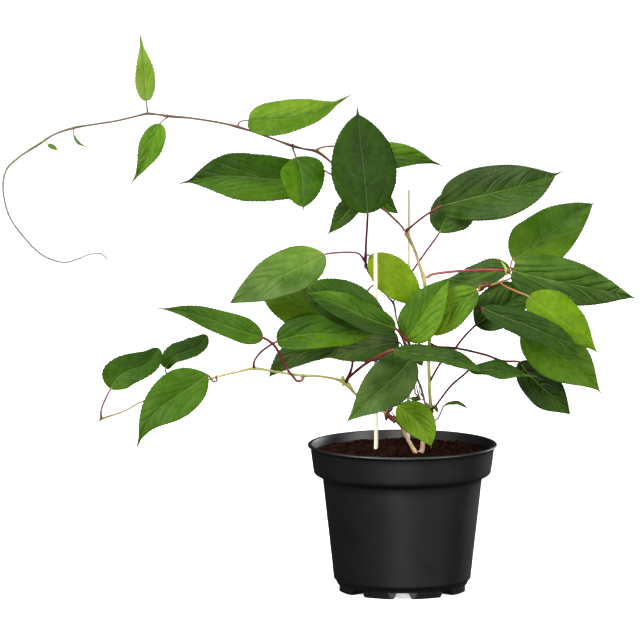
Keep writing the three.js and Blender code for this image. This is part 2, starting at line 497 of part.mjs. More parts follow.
// Pot wall from the middle of the base up the outside, over the lip and down the inside
const POT_OUTSIDE = [
  [0, 0],
  [BASE_RADIUS, 0],
  [SKIRT_RADIUS, SKIRT_HEIGHT],
  [BODY_FOOT_RADIUS - STEP_DEPTH, STEP_HEIGHT],
  [BODY_FOOT_RADIUS, BODY_FOOT_HEIGHT],
  [SHOULDER_RADIUS, SHOULDER_HEIGHT],
  [BAND_FOOT_RADIUS - BAND_ROUNDING, BAND_FOOT_HEIGHT - BAND_ROUNDING],
  [BAND_FOOT_RADIUS, BAND_FOOT_HEIGHT],
  [BAND_TOP_RADIUS, POT_HEIGHT - LIP_HEIGHT - WALL],
  [RIM_RADIUS - LIP_ROUNDING, POT_HEIGHT - LIP_HEIGHT],
  [RIM_RADIUS, POT_HEIGHT - LIP_ROUNDING],
  [RIM_RADIUS - LIP_ROUNDING, POT_HEIGHT],
];
const POT_INSIDE = [
  [BAND_TOP_RADIUS - WALL, POT_HEIGHT],
  [BAND_FOOT_RADIUS - WALL, BAND_FOOT_HEIGHT],
  [SHOULDER_RADIUS + WALL, SHOULDER_HEIGHT + 2 * WALL],
  [SHOULDER_RADIUS - WALL, SHOULDER_HEIGHT],
  [BODY_FOOT_RADIUS - WALL, BODY_FOOT_HEIGHT],
  [BASE_RADIUS - WALL, FLOOR],
  [0, FLOOR],
];

function lathe(profile, sides) {
  return new THREE.LatheGeometry(profile.map(([r, z]) => new THREE.Vector2(r, z)), sides)
    .rotateX(Math.PI / 2);
}

// A straight cut under the pot, in from the outside to innerRadius
function cut(topWidth, footWidth, innerRadius, angle) {
  const outline = new THREE.Shape([
    new THREE.Vector2(-footWidth / 2, -CUT_MARGIN),
    new THREE.Vector2(footWidth / 2, -CUT_MARGIN),
    new THREE.Vector2(topWidth / 2, NOTCH_HEIGHT),
    new THREE.Vector2(-topWidth / 2, NOTCH_HEIGHT),
  ]);
  const depth = RIM_RADIUS - innerRadius;
  const geometry = new THREE.ExtrudeGeometry(outline, { depth, bevelEnabled: false })
    .rotateX(Math.PI / 2)
    .translate(0, -innerRadius, 0)
    .rotateZ(angle);
  return toSolid(geometry);
}

function pot() {
  let body = toSolid(lathe([...POT_OUTSIDE, ...POT_INSIDE], POT_SIDES));
  for (let i = 0; i < NOTCH_COUNT; i++) {
    const angle = 2 * Math.PI * i / NOTCH_COUNT;
    body = body
      .subtract(cut(NOTCH_WIDTH, NOTCH_WIDTH, NOTCH_RADIUS, angle))
      .subtract(cut(CHANNEL_TOP_WIDTH, CHANNEL_FOOT_WIDTH, CHANNEL_END_RADIUS, angle));
  }
  return toGeometry(body);
}

// Canes: [foot, top, foot radius, top radius], pushed down close to the pot's floor
const CANES = {
  cane_short: [[-27, 34, 20, 2.2], [-27, 340, 20, 2.1]],
  cane_tall: [[4.9, 40, 60, 1.9], [7, 401, 60, 1.6]],
};
const CANE_SIDES = 8;
const CANE_STEP = 400;

const cane = (ends, grown = 0) => stem(
  ends.map(place), ends.map((end) => end[3] + grown), CANE_SIDES, CANE_STEP,
);

// Soil: fills the pot with a crumbly top, and has a plain hole for each cane and for the vine's foot
function soil() {
  const bed = POT_INSIDE.slice(1).reverse()
    .map(([r, z]) => [Math.max(r - SEAT_GAP, 0), z + SEAT_GAP]);
  const radii = Array.from({ length: SOIL_RINGS + 1 }, (_, i) => SOIL_EDGE * (1 - i / SOIL_RINGS));
  const geometry = lathe([...bed, ...radii.map((r) => [r, SOIL_LEVEL])], SOIL_SIDES);
  const point = geometry.attributes.position;
  const wave = 2 * Math.PI / CRUMB_LENGTH;
  for (let i = 0; i < point.count; i++) {
    if (point.getZ(i) !== SOIL_LEVEL) continue;
    const [x, y] = [point.getX(i), point.getY(i)];
    const crumbs = Math.sin(wave * x + 2 * Math.sin(wave * y / 2)) * Math.cos(wave * y + 1);
    point.setZ(i, SOIL_LEVEL + CRUMB_HEIGHT * crumbs);
  }
  let bulk = toSolid(geometry);
  for (const [foot, tip] of Object.values(CANES)) {
    const below = [foot[0], foot[1] - SEAT_GAP, foot[2], foot[3]];
    bulk = bulk.subtract(toSolid(cane([below, tip], SEAT_GAP)));
  }
  const { x, y, topRadius, footRadius, height, sides } = FOOT_HOLE;
  const stemFoot = place(SHOOTS.main_stem.routes[0][0]).z;
  const footHole = new THREE.CylinderGeometry(topRadius, footRadius, height, sides)
    .rotateX(Math.PI / 2)
    .translate(x, y, stemFoot - SEAT_GAP + height / 2);
  return toGeometry(bulk.subtract(toSolid(footHole)));
}

const vine = new THREE.Group();

function add(name, geometry, material) {
  const mesh = new THREE.Mesh(geometry, material);
  mesh.name = name;
  vine.add(mesh);
}

add('pot', pot(), POT_PLASTIC);
add('soil', soil(), SOIL_BROWN);
for (const [name, ends] of Object.entries(CANES)) {
  add(name, facingOut(cane(ends)), CANE);
}
for (const [name, form] of Object.entries(SHOOTS)) {
  const stalks = Object.values(LEAVES).filter((one) => one.shoot === name).map(stalk);
  add(name, toGeometry(shoot(form, stalks)), form.bark);
}
for (const [name, form] of Object.entries(LEAVES)) {
  add(name, facingOut(skinRings(blade(form))), SHADES[form.shade]);
}

export default vine;
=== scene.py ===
"""A young kiwi vine in a nursery pot of soil, with two thin split canes.

Blender's lengths are metres. The tables below hold millimetres, and MM turns them into metres.
"""
import math

import bmesh
import bpy
import numpy as np
from bpy.props import FloatProperty, FloatVectorProperty, IntProperty, PointerProperty
from mathutils import Matrix, Vector, noise


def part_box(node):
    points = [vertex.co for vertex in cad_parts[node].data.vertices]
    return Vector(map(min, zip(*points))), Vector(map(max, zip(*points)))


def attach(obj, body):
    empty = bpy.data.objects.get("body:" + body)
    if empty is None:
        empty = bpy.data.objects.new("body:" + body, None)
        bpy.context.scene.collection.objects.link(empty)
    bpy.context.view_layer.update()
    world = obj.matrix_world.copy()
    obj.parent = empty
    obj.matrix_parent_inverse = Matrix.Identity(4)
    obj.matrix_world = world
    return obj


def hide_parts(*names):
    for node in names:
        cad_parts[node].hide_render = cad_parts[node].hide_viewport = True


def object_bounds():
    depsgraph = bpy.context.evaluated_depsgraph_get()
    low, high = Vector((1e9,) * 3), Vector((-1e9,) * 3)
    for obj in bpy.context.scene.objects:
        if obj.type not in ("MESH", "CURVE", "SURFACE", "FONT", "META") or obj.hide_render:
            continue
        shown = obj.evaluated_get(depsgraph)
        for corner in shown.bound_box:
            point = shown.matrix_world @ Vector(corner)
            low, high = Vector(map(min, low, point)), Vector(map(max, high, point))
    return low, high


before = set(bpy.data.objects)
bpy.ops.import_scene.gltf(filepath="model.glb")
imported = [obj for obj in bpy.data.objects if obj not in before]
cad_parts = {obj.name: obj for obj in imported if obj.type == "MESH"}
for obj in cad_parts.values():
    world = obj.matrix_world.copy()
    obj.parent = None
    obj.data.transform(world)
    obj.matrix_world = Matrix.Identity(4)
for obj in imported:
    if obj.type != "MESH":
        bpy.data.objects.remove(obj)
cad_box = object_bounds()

bl_info = {
    "name": "Potted kiwi vine",
    "version": (1, 0, 0),
    "blender": (4, 5, 0),
    "location": "3D View > Sidebar > Kiwi vine",
    "description": "Builds a young kiwi vine in its nursery pot around the packed model",
    "category": "Add Mesh",
}

MM = 0.001
UP = np.array([0.0, 0.0, 1.0])

# The eye that the tables' places are measured from: in front, a little above level
EYE_ELEVATION = math.radians(8.2)
TO_EYE = np.array([0.0, -math.cos(EYE_ELEVATION), math.sin(EYE_ELEVATION)])

# Pot: a 3 litre nursery pot, its rim and height from the model
POT_LOW, POT_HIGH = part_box("pot")
POT_HEIGHT = POT_HIGH.z / MM
RIM_RADIUS = (POT_HIGH.x - POT_LOW.x) / 2 / MM
LIP_ROLL = 1.4
# Its corners, each as (radius, height), from the foot up
BASE = (64.3, 0)
STEP = (65.5, 8)
BODY_FOOT = (68.7, 12.6)
SHOULDER = (80, 113.5)
BAND_FOOT = (RIM_RADIUS - 6, 120)
BAND_TOP = (RIM_RADIUS - 2.8, POT_HEIGHT)
WALL = 1.5
FLOOR = 8.6
# Its inside, from the middle of the floor up to the foot of the band
INSIDE = [(0, FLOOR), (BASE[0] - WALL, FLOOR), (BODY_FOOT[0] - WALL, BODY_FOOT[1]),
          (SHOULDER[0] - WALL, SHOULDER[1]), (SHOULDER[0] + WALL, SHOULDER[1] + 2 * WALL),
          (BAND_FOOT[0] - WALL, BAND_FOOT[1])]

# Drainage: notches round the foot and the channels behind them, each with its width at the top and at
# the foot and the radius where it ends; their upper corners are cut off
NOTCH_COUNT = 8
NOTCH_HEIGHT = 6.8
NOTCH_CORNER = 0.8
CUTS = {"notches": (30, 30, 63), "channels": (12, 19.5, 26)}

# Soil: it ends a little inside the pot's wall; its clods are this wide
SOIL_LEVEL = 139.5
SOIL_EDGE = 89.1
SEAT_GAP = 0.35
CLOD_WIDTH = 11

# Canes: the knot's place and length as parts of the cane's length, and how far out the split side is
KNOT_AT = 0.71
KNOT_LENGTH = 0.006
SPLIT_SIDE = 0.55
# Their (across, up, depth, radius) at the foot and at the top
CANES = {
    "cane_short": [(-27, 34, 20, 2.2), (-27, 340, 20, 2.1)],
    "cane_tall": [(4.9, 40, 60, 1.9), (7, 401, 60, 1.6)],
}

# Shoots: each route point is (across, up, depth, radius); a larger radius is a leaf node.
SHOOTS = {
    "main_stem": [
        [(15.6, 112, -8, 3.6), (15.6, 124, -8, 4.6), (16, 134, -8, 4.4), (19.5, 139.5, -8, 2.4),
         (20.5, 148, -7, 2.3), (23.5, 159, -5, 2.1), (28, 173, -3, 2), (28.5, 180, -2, 2.7),
         (28, 188, -1, 1.9), (27, 205, 1, 1.8), (26.5, 228, 4, 1.8), (27, 250, 5, 1.8),
         (25.5, 280, 6, 1.7), (22.5, 302, 7, 1.7), (21.5, 311, 8, 2.4), (17, 325, 9, 1.6),
         (10.5, 344, 10, 1.6), (3, 358, 11, 2.3)],
        [(15.6, 124, -8, 3), (12.5, 138, -8, 2.2), (8.5, 145, -8, 1.8), (3, 155.5, -8, 1.7),
         (-1.5, 164, -7, 1.6), (-5, 169, -6, 2.6), (-12, 174, -5, 1.5), (-15, 176, -5, 2.4),
         (-22, 181, -3, 1.4)],
        [(28.5, 180, -2, 1.5), (24.5, 183, -5.5, 1.3)],
    ],
    "upper_runner": [
        [(1.9, 359.2, 11.3, 1), (0.5, 361.8, 11.4, 1.2), (-3, 366, 12, 1.2), (-14.5, 377, 14, 1.2),
         (-30.5, 391, 17, 1.56), (-52.5, 410.5, 19, 1), (-57.5, 415, 19, 1.48), (-70.5, 427, 20, 1),
         (-86, 438.5, 20, 1.64), (-98, 441, 20, 1), (-110, 444, 19, 1.56), (-124, 449, 18, 1),
         (-137.5, 454, 17, 1), (-152, 459, 16, 1), (-165, 463, 15, 1.48), (-177, 466, 14, 1),
         (-210.5, 471.5, 11, 0.95), (-233.5, 473.5, 10, 1.4), (-244, 475, 9, 0.95),
         (-254.5, 476, 9, 1.33), (-266, 473.5, 8, 0.9), (-284.5, 469, 5, 0.9), (-312.5, 464.5, 0, 0.9),
         (-328.5, 461.5, -4, 1.25), (-347.5, 455, -9, 0.9), (-361.5, 446, -14, 1.25),
         (-382.5, 432, -23, 0.9), (-394.5, 420, -30, 0.9), (-398, 404, -36, 0.85),
         (-396, 387, -40, 0.85), (-391.5, 373, -42, 0.85), (-382.5, 359, -43, 0.85),
         (-365.5, 340, -42, 0.85), (-354, 332, -40, 0.85), (-337.5, 327.5, -35, 0.85),
         (-326, 330, -31, 0.81), (-312, 335.5, -26, 0.76), (-300.5, 336, -21, 0.76),
         (-294.5, 330.5, -19, 0.66)],
    ],
    "lower_runner": [
        [(-22.6, 181.5, -2.9, 1.4), (-34, 188, -1, 1.4), (-47, 196, 0, 1.4), (-56.5, 207, 2, 3),
         (-67.5, 211, 2, 1.4), (-84.5, 214, 0, 1.3), (-99, 214.5, -2, 1.7), (-125.5, 218, -6, 1.2),
         (-148.5, 221.5, -9, 1.6), (-165.5, 218, -12, 1.1), (-186.5, 213, -15, 1.4),
         (-222.5, 200, -18, 1), (-235.5, 196, -19, 1.3), (-261.5, 188, -22, 0.9),
         (-278, 179, -24, 0.9), (-301, 171, -26, 1.2), (-304, 168.5, -26, 0.8)],
    ],
    "centre_twig": [
        [(24, 183.4, -5.9, 1.2), (22.3, 188, -7, 1.1), (21, 193, -6.4, 1.3), (18.5, 202, -4.8, 1.3),
         (14, 214, -5, 1.1), (5.5, 238, -3, 2), (-5.5, 270, 18, 0.9), (-9, 287, 33, 1.3),
         (-14.5, 293, 35, 0.8), (-22.5, 305, 35, 1.1), (-30, 312, 34, 0.8), (-34.5, 319, 32, 0.9),
         (-37, 328, 29, 1.5)],
        [(-9, 287, 33, 0.8), (-7.5, 292, 33, 0.6)],
        [(21, 193, -6.4, 0.8), (17.5, 197, -9, 0.6), (16, 204, -9, 0.5)],
        [(-37, 328, 29, 0.8), (-38, 323, 27, 0.6), (-35, 320.5, 26, 0.5)],
    ],
    "right_shoot": [
        [(24.4, 312.3, 8, 1.5), (28, 315, 7, 1.4), (37.5, 317, 5, 1.35), (75, 320, 2, 1.3),
         (99.5, 319.5, 0, 1.3), (105.5, 318, 0, 1.9)],
        [(105.5, 318, 0, 1.2), (109.5, 313.5, -2, 1), (105.5, 310.5, -3.5, 1), (97.5, 308, -5, 1.4),
         (87.5, 304.5, -6, 1), (77.5, 304, -7, 1.2)],
        [(105.5, 318, 0, 1.2), (102.5, 323, -2, 1.3), (98.5, 328.5, -4, 0.5)],
    ],
}

# Leaves, a row each: its shade, its shoot, the colour of its stalk, the stalk's points before the
# blade, the blade's base and tip, its width as seen, how far its face is turned up (or right) from
# the eye in degrees, its shape and its look in hundredths, the stalk's radius and the size of the bud
# above the stalk. The shape and the look are:
#   arch, sweep, curl: its bow towards the eye, its bow upwards and its S-bend, as parts of its length
#   fold: slope of its two halves, in radians
#   widest: where along it that is
#   heel, taper: how blunt (under 50) or pointed (over 50) the oval is at its base and at its tip
#   drip: how much of its length the drawn tip takes
#   skew: how much wider its upper half is than its lower half
#   lean: the same, but only near its base, and the other way round near its tip
#   youth_and_light, foot, end, upper, lower: how young (above 0) or old (below 0) the whole blade, its
#     ends and its halves look, and how much lighter or darker they are painted for the light and shade
#     that each leaf and each half of it gets
#   bloom_and_sheen, pucker: how much grey wax bloom and painted sheen it has and how much it swells
#     between its veins
SHAPE = ("arch", "sweep", "curl", "fold", "widest", "heel", "taper", "drip", "skew", "lean")
LOOK = ("youth_and_light", "foot", "end", "upper", "lower", "bloom_and_sheen", "pucker")
ROW = ("shade", "shoot", "stalk", "route", "base", "tip", "width", "turn", "shape", "look",
       "stalk_radius", "bud")
LEAVES = {
    # Along the upper runner
    "leaf_upper_1": ("lime", "upper_runner", "grey", [(-254.5, 476, 9)], (-256, 489, 12),
        (-262.5, 557, 26), 21.5, 10, (3, 1.5, 0, 20, 29, 45, 130, 15, 0, -2), (-20, 0, 0, 0, 0, 25, 50),
        0.6, 0.5),
    "leaf_upper_2": ("fresh", "upper_runner", "grey", [(-233.5, 473.5, 10), (-238, 470, 7)],
        (-242.5, 465.5, 4), (-271, 405.5, -20), 25.5, 15, (6, -4.5, 0.5, 20, 31, 50, 115, 12, 4, -2),
        (-20, 50, 0, -40, 0, 5, 100), 0.6, 0.6),
    "leaf_upper_3": ("lime", "upper_runner", "grey", [(-165, 463, 15), (-162.5, 468, 14.5)],
        (-154, 469.5, 14), (-51, 495, 0), 35.5, 30, (5, -8.5, 0.5, 20, 28, 35, 75, 16, 4, -8),
        (-90, 0, 0, 40, 0, 2, 50), 0.65, 0.6),
    "leaf_upper_4": ("mid", "upper_runner", "grey", [(-110, 444, 19), (-108.5, 438, 12)],
        (-106.5, 432.5, 6), (-98.5, 377.5, -20), 46.5, 8, (6, 4.5, 1.5, 20, 31, 65, 60, 9, 0, 6),
        (-30, 0, 0, 0, 60, 0, 40), 0.9, 0.8),
    "leaf_upper_5": ("mid", "upper_runner", "brown", [(-86, 438.5, 20), (-82.5, 442, 25)],
        (-68, 444, 34), (40, 424.5, 46), 32.5, 22, (6, 0, -3, 20, 35, 45, 110, 7, -2, -2),
        (90, 50, -110, 0, -70, 5, 100), 0.9, 0.8),
    "leaf_upper_6": ("dark", "upper_runner", "brown", [(-57.5, 415, 19), (-71.5, 416, 26)],
        (-78.5, 419.5, 27), (-223, 406, 2), 51, 24, (5, -0.5, -3, 20, 56, 50, 125, 5, -6, 2),
        (10, 60, -90, -30, 70, 2, 100), 0.9, 0.8),
    "leaf_tiny_1": ("mid", "upper_runner", "green", [(-361.5, 446, -14), (-358, 448.5, -14)],
        (-353.5, 445, -14), (-343, 439, -19), 5, 20, (10, 0, 0, 20, 38, 50, 90, 8, 0, 0),
        (0, 0, 0, 0, 0, 5, 100), 0.5, 0.5),
    "leaf_tiny_2": ("mid", "upper_runner", "grey", [(-328.5, 461.5, -4), (-328.5, 458, -5)],
        (-328, 454.5, -6), (-314.5, 442.5, -12), 3, 20, (6, -15, 0, 20, 38, 50, 90, 8, 0, 0),
        (0, 0, 0, 0, 0, 5, 100), 0.5, 0.5),

    # At the top of the main stem
    "leaf_top_1": ("dark", "centre_twig", "dark", [(-37, 328, 29), (-36.5, 345, 14)], (-35, 376.5, -12),
        (-45.5, 484.5, 4), 67.5, 10, (5, 0, 0.5, 20, 40, 50, 75, 9, -2, -2), (-80, 30, 0, 0, 30, 2, 30),
        1.15, 0.8),
    "leaf_top_2": ("dark", "upper_runner", "brown", [(-30.5, 391, 17), (-33, 394.5, 11)],
        (-34.5, 394, 8), (-76.5, 354, -3), 22.5, 15, (6, 4, 2, 20, 39, 45, 105, 7, 10, -2),
        (-20, -120, 120, -50, -30, 5, 100), 0.9, 0.8),
    "leaf_top_3": ("dark", "upper_runner", "brown", [(-57.5, 415, 19), (-50, 417, 26)], (-40, 413, 32),
        (-4, 376.5, 24), 24, 15, (6, -1.5, 1.5, 20, 38, 50, 110, 0, -6, 2),
        (70, 0, 50, -110, -40, 5, 100), 0.9, 0.8),

    # On the right
    "leaf_right_1": ("dark", "main_stem", "red", [(3, 358, 11), (9.5, 364, 9), (23.5, 375, 4)],
        (39, 384, 0), (159.5, 418, -36), 56, 20, (7, -1.5, 0.5, 20, 49, 35, 90, 6, -6, 22),
        (10, -50, -20, -90, -20, 10, 120), 1.1, 0.8),
    "leaf_right_2": ("dark", "centre_twig", "mauve", [(-22.5, 305, 35), (-8, 306, 41), (8, 317, 42),
        (17.5, 330, 32)], (37, 357.5, 10), (62, 402, 20), 45, 15, (6, -1, 3, 20, 48, 60, 45, 5, -12, 6),
        (-50, 120, -120, -70, -40, 12, 100), 1, 0.6),
    "leaf_right_3": ("mid", "right_shoot", "brown", [(105.5, 318, 0), (108, 324, 6)], (110, 330.5, 12),
        (194, 388, 48), 56, 18, (6, 0.5, -1.5, 20, 25, 45, 90, 4, -4, 2), (0, 60, -90, 0, 60, 5, 45),
        0.9, 0),
    "leaf_right_4": ("mid", "right_shoot", "brown", [(105.5, 318, 0)], (109.5, 319.5, -7),
        (235, 291.5, -6), 49, 8, (3, -0.5, -0.5, 14, 33, 30, 105, 4, 2, 4),
        (-50, 40, -60, 30, -70, 12, 150), 0.9, 0),
    "leaf_right_5": ("lime", "right_shoot", "brown", [(97.5, 308, -5), (99.5, 305.5, -9),
        (112.5, 299, -16)], (125.5, 293.5, -21), (197, 234.5, -34), 44, 14,
        (6, 3.5, -0.5, 20, 35, 50, 140, 4, 2, 0), (-40, 0, 0, 0, -20, 0, 25), 1.1, 0),
    "leaf_right_6": ("dark", "main_stem", "dark", [(25.5, 279, 6), (45, 280, 0), (62, 280.5, 2),
        (72, 281.5, -4), (78, 282, -9)], (79.5, 282, -27), (177, 231, -64), 28.5, 22,
        (5, 5, -1.5, 20, 47, 45, 45, 6, -2, -2), (-80, 20, 50, 0, 0, 2, 80), 1.05, 0.8),
    "leaf_right_7": ("mid", "main_stem", "dark", [(26, 274, 6), (60, 279, 3), (80, 282, -2),
        (96, 275, -12), (112, 266, -10)], (121.5, 261, 0), (201, 194, -8), 53.5, 14,
        (6, 3.5, -1.5, 20, 40, 50, 135, 5, -6, 0), (40, -30, 40, 0, 0, 5, 80), 1.05, 0.8),
    "leaf_right_8": ("deep", "main_stem", "dark", [(26.5, 247, 5), (34, 243.5, 6), (52.5, 242, 7),
        (83.5, 235, 9), (100.5, 229, 9)], (117, 228, 8), (169, 174.5, 2), 38.5, 12,
        (6, -1.5, -1.5, 20, 49, 50, 125, 1, -4, 10), (10, -120, 120, -60, 0, 5, 100), 1.25, 0.8),
    "leaf_right_9": ("deep", "main_stem", "dark", [(27, 208, 2), (30.5, 214, 1), (37.5, 226, 1),
        (50.5, 239, 1), (61.5, 253, 3)], (73.5, 265, 6), (137.5, 305, 17), 45, 18,
        (6, 1.5, 0, 20, 38, 55, 80, 10, 8, -4), (100, -120, 30, 30, 0, 5, 130), 1.15, 0.8),
    "leaf_right_10": ("dark", "right_shoot", "dark", [(105.5, 318, 0), (109, 320, 5), (109.5, 322, 10)],
        (107, 322.5, 12.5), (42.5, 305.5, 26), 27, 15, (6, -2.5, 2, 20, 32, 55, 45, 0, 6, 2),
        (70, 50, 40, -120, -110, 25, 50), 0.9, 0),

    # In the middle
    "leaf_middle_1": ("lime", "centre_twig", "green", [(-37, 328, 29), (-37.5, 334, 28)],
        (-32.5, 335, 26), (20.5, 283, 31), 39.5, 3, (0, 0.5, -0.5, 5, 42, 60, 85, 4, 2, 2),
        (20, 40, -80, 0, 0, 0, 15), 0.9, 0.8),
    "leaf_middle_2": ("fresh", "centre_twig", "red", [(5.5, 238, -3), (7.5, 244, -10)], (4, 250.5, -18),
        (47, 312.5, -13), 44, 12, (6, 1.5, -1, 20, 30, 50, 100, 1, -2, 2), (20, 0, 0, -70, 0, 5, 100),
        0.9, 0.8),
    "leaf_middle_3": ("fresh", "right_shoot", "brown", [(77.5, 304, -7)], (75.5, 298.5, -11),
        (13.5, 253.5, -6), 39, 10, (3, 1, 1.5, 12, 48, 50, 85, 8, 4, 0), (60, -120, 120, 50, 0, 5, 100),
        0.9, 0),
    "leaf_middle_4": ("mid", "centre_twig", "brick", [(5.5, 238, -3), (7, 246, -17), (-1.5, 255.5, -28)],
        (-7.5, 262, -36), (-98.5, 296.5, -58), 30, 25, (6, 1, -1.5, 20, 40, 35, 60, 7, -4, 2),
        (-20, 0, 50, 0, -100, 5, 100), 1.3, 0.8),
    "leaf_middle_5": ("dark", "centre_twig", "dark", [(5.5, 238, -3), (-2, 255, -8), (-9, 264, -16)],
        (-17, 269.5, -22), (-100.5, 301, -44), 46, 15, (6, 0.5, -0.5, 20, 47, 65, 45, 5, 2, 0),
        (10, 50, 40, -40, -110, 5, 100), 0.9, 0.8),
    "leaf_middle_6": ("mid", "lower_runner", "red", [(-148.5, 221.5, -9), (-148.5, 228, -12),
        (-142.5, 237, -17), (-133.5, 244, -21)], (-125.5, 248.5, -24), (-17.5, 259, -27), 36.5, 20,
        (6, 2, 2.5, 20, 31, 40, 105, 8, 6, 0), (0, 20, 120, -50, 0, 0, 90), 1.1, 0.8),
    "leaf_middle_7": ("dark", "lower_runner", "dark", [(-56.5, 207, 2), (-50, 226, 10), (-52, 239, 14)],
        (-58, 242, 15.5), (-135.5, 211, 8), 28, 5, (3, 13, -1, 15, 52, 50, 90, 4, 14, -4),
        (-10, -60, 0, 0, 40, 20, 100), 1.3, 0),
    "leaf_middle_8": ("dark", "centre_twig", "dark", [(5.5, 238, -3), (0, 244, -7)], (-3.5, 247.5, -11),
        (-84, 231, -6), 33.5, 12, (2, 2, 0.5, 10, 29, 30, 100, 12, 4, 0),
        (10, -120, 120, -110, 40, 30, 60), 0.9, 0.8),

    # Left of the middle
    "leaf_left_1": ("fresh", "centre_twig", "mauve", [(-37, 328, 29), (-43, 336, 22), (-48.5, 337.5, 17),
        (-62.5, 337.5, 7)], (-78, 335.5, -3), (-172.5, 286.5, -30), 48, 22,
        (7, 1, -1, 20, 37, 60, 105, 0, -4, 6), (-40, 80, -70, 0, -70, 28, 70), 1, 0.8),
    "leaf_left_2": ("mid", "centre_twig", "red", [(-22.5, 305, 35), (-29.5, 304.5, 31), (-34, 300.5, 24),
        (-49, 276.5, 9)], (-58.5, 271.5, 2), (-147.5, 302, 3), 49, 12,
        (6, -1.5, 0.5, 20, 47, 50, 85, 7, 0, 2), (130, -120, 120, 50, 120, 0, 100), 0.9, 0.8),

    # In front
    "leaf_front_1": ("mid", "centre_twig", "red", [(5.5, 238, -3), (9, 236, -20)], (10, 233, -32),
        (-58, 166.5, -66), 49, 12, (5, -1, -1, 20, 38, 60, 150, 2, -6, 10),
        (-110, -120, 120, 0, 0, 17, 35), 0.9, 0.8),
    "leaf_front_2": ("dark", "lower_runner", "red", [(-56.5, 207, 2), (-55, 211, -4), (-47.5, 218, -14),
        (-37.5, 226, -30), (-25, 233, -46)], (-9.5, 240, -56), (80.5, 217.5, -66), 18.5, 60,
        (8, 5, -1.5, 10, 40, 50, 75, 2, 6, 0), (-100, 20, 60, 20, 60, 5, 100), 1.5, 0),
    "leaf_front_3": ("dark", "main_stem", "dark", [(28.5, 180, -2), (33, 184, -5), (40, 193.5, -12),
        (49, 205, -20), (59.5, 214, -26)], (67.5, 220.5, -30), (133.5, 213.5, -46), 17.5, 60,
        (8, 1.5, 1, 10, 44, 45, 125, 12, 10, 6), (-70, -40, 40, 40, 80, 5, 100), 1.15, 0.8),
    "leaf_foot": ("fresh", "main_stem", "green", [(-5, 169, -6), (-6, 177, -12)], (-4, 184.5, -20),
        (29, 142, -42), 35, 10, (6, 9.5, -1, 20, 41, 50, 85, 5, 2, 2), (70, 0, 0, -20, 0, 5, 80), 0.9,
        0),
    "leaf_small_1": ("dark", "main_stem", "mauve", [(28, 173, -3), (34, 170, -9), (38.5, 178, -12)],
        (42, 185, -14), (67, 180, -22), 4.5, 30, (6, 17, 0, 20, 38, 50, 90, 8, 0, 0),
        (0, 0, 0, 0, 0, 5, 100), 0.85, 0),
    "leaf_small_2": ("dark", "main_stem", "dark", [(28.5, 180, -2), (22, 189, -5)], (18.5, 191, -6),
        (6, 191.5, -9), 5, 20, (6, 0, 0, 20, 38, 50, 90, 8, 0, 0), (0, 0, 0, 0, 0, 5, 100), 0.5, 0),
    "leaf_small_3": ("mid", "main_stem", "green", [(28.5, 180, -2), (30.5, 184, -5)], (32, 184.5, -9),
        (36, 176.5, -13), 4, 10, (6, 0, 0, 20, 38, 50, 90, 8, 0, 0), (0, 0, 0, 0, 0, 5, 100), 0.5, 0),
    "leaf_small_4": ("dark", "centre_twig", "dark", [(5.5, 238, -3), (11, 237.5, -7)], (14, 236, -8),
        (20, 223, -12), 10, 10, (6, 0, 0, 20, 38, 50, 90, 8, 0, 0), (0, 0, 0, 0, 0, 5, 100), 0.5, 0),

    # Low on the left
    "leaf_low_1": ("mid", "lower_runner", "brick", [(-99, 214.5, -2), (-101, 209.5, -4),
        (-105.5, 209, -7), (-109, 213, -9), (-116, 222, -13), (-128.5, 245, -26)], (-139.5, 252.5, -31),
        (-244.5, 281.5, -46), 28, 25, (6, 3, -1.5, 20, 23, 50, 105, 5, 2, 2),
        (-45, 80, -30, 0, 0, 5, 80), 1.4, 0),
    "leaf_low_2": ("mid", "lower_runner", "red", [(-186.5, 213, -15), (-185.5, 209.5, -20),
        (-189.5, 209, -26)], (-195, 215.5, -31), (-266, 139.5, -54), 49, 10,
        (7, 10.5, -3, 20, 33, 70, 130, 8, -2, 18), (0, 0, 0, 0, 0, 5, 55), 0.9, 0.6),
    "leaf_low_3": ("dark", "lower_runner", "mauve", [(-301, 171, -26), (-301, 180, -27)],
        (-291.5, 201, -27), (-243.5, 244, -16), 34, 10, (6, -1.5, 7, 20, 22, 60, 45, 3, 4, 2),
        (-30, 120, 0, -40, 0, 0, 30), 1, 0.8),
    "leaf_low_4": ("deep", "lower_runner", "brown", [(-235.5, 196, -19), (-235.5, 214, -10)],
        (-237, 221.5, -6), (-196.5, 255.5, 2), 22, 20, (6, -0.5, 7, 20, 61, 30, 50, 0, 16, 6),
        (-20, 120, 30, 20, 30, 0, 35), 0.9, 0.8),
}

# The upper runner is hairy from this point of its route on; the hairs' radius and their place on the
# ramp of their bark
HAIRY_FROM = 25
HAIR_RADIUS = 0.24
HAIR_TONE = 0.5

# Slope of the edges of a blade's drawn tip, as in the model
TIP_SLOPE = 0.16

# Side veins leave the midrib slanting and bow towards the tip: parts of the length for each half width
VEIN_SLANT = 0.35
VEIN_BOW = 0.42

# Depth that the skin's finest relief is drawn in
SKIN_RELIEF = 0.3 * MM

# Points round a stem or a cane, and round a leaf stalk
STEM_SIDES = 14
STALK_SIDES = 10

# How much wider a stalk is where it leaves its shoot, how far it runs on under its blade in mm, and how
# much thinner stems and stalks are at their ends
STALK_FLARE = 1.4
STALK_UNDER_BLADE = 3
END_TAPER = 0.6

# Blades shorter than the full size have less relief; narrow ones have fewer columns of points
FULL_SIZE = 70
NARROW = 20

# Relief of a blade in mm, before it shrinks with the blade: depth and half width of the groove over
# the midrib; height of the rib under it at the tip, what it gains by the base, and its half width;
# height of the ridge under a side vein, and its half width in vein spacings
GROOVE = (0.4, 0.8)
RIB = (0.25, 0.7, 0.6)
RIDGE = (0.2, 0.06)


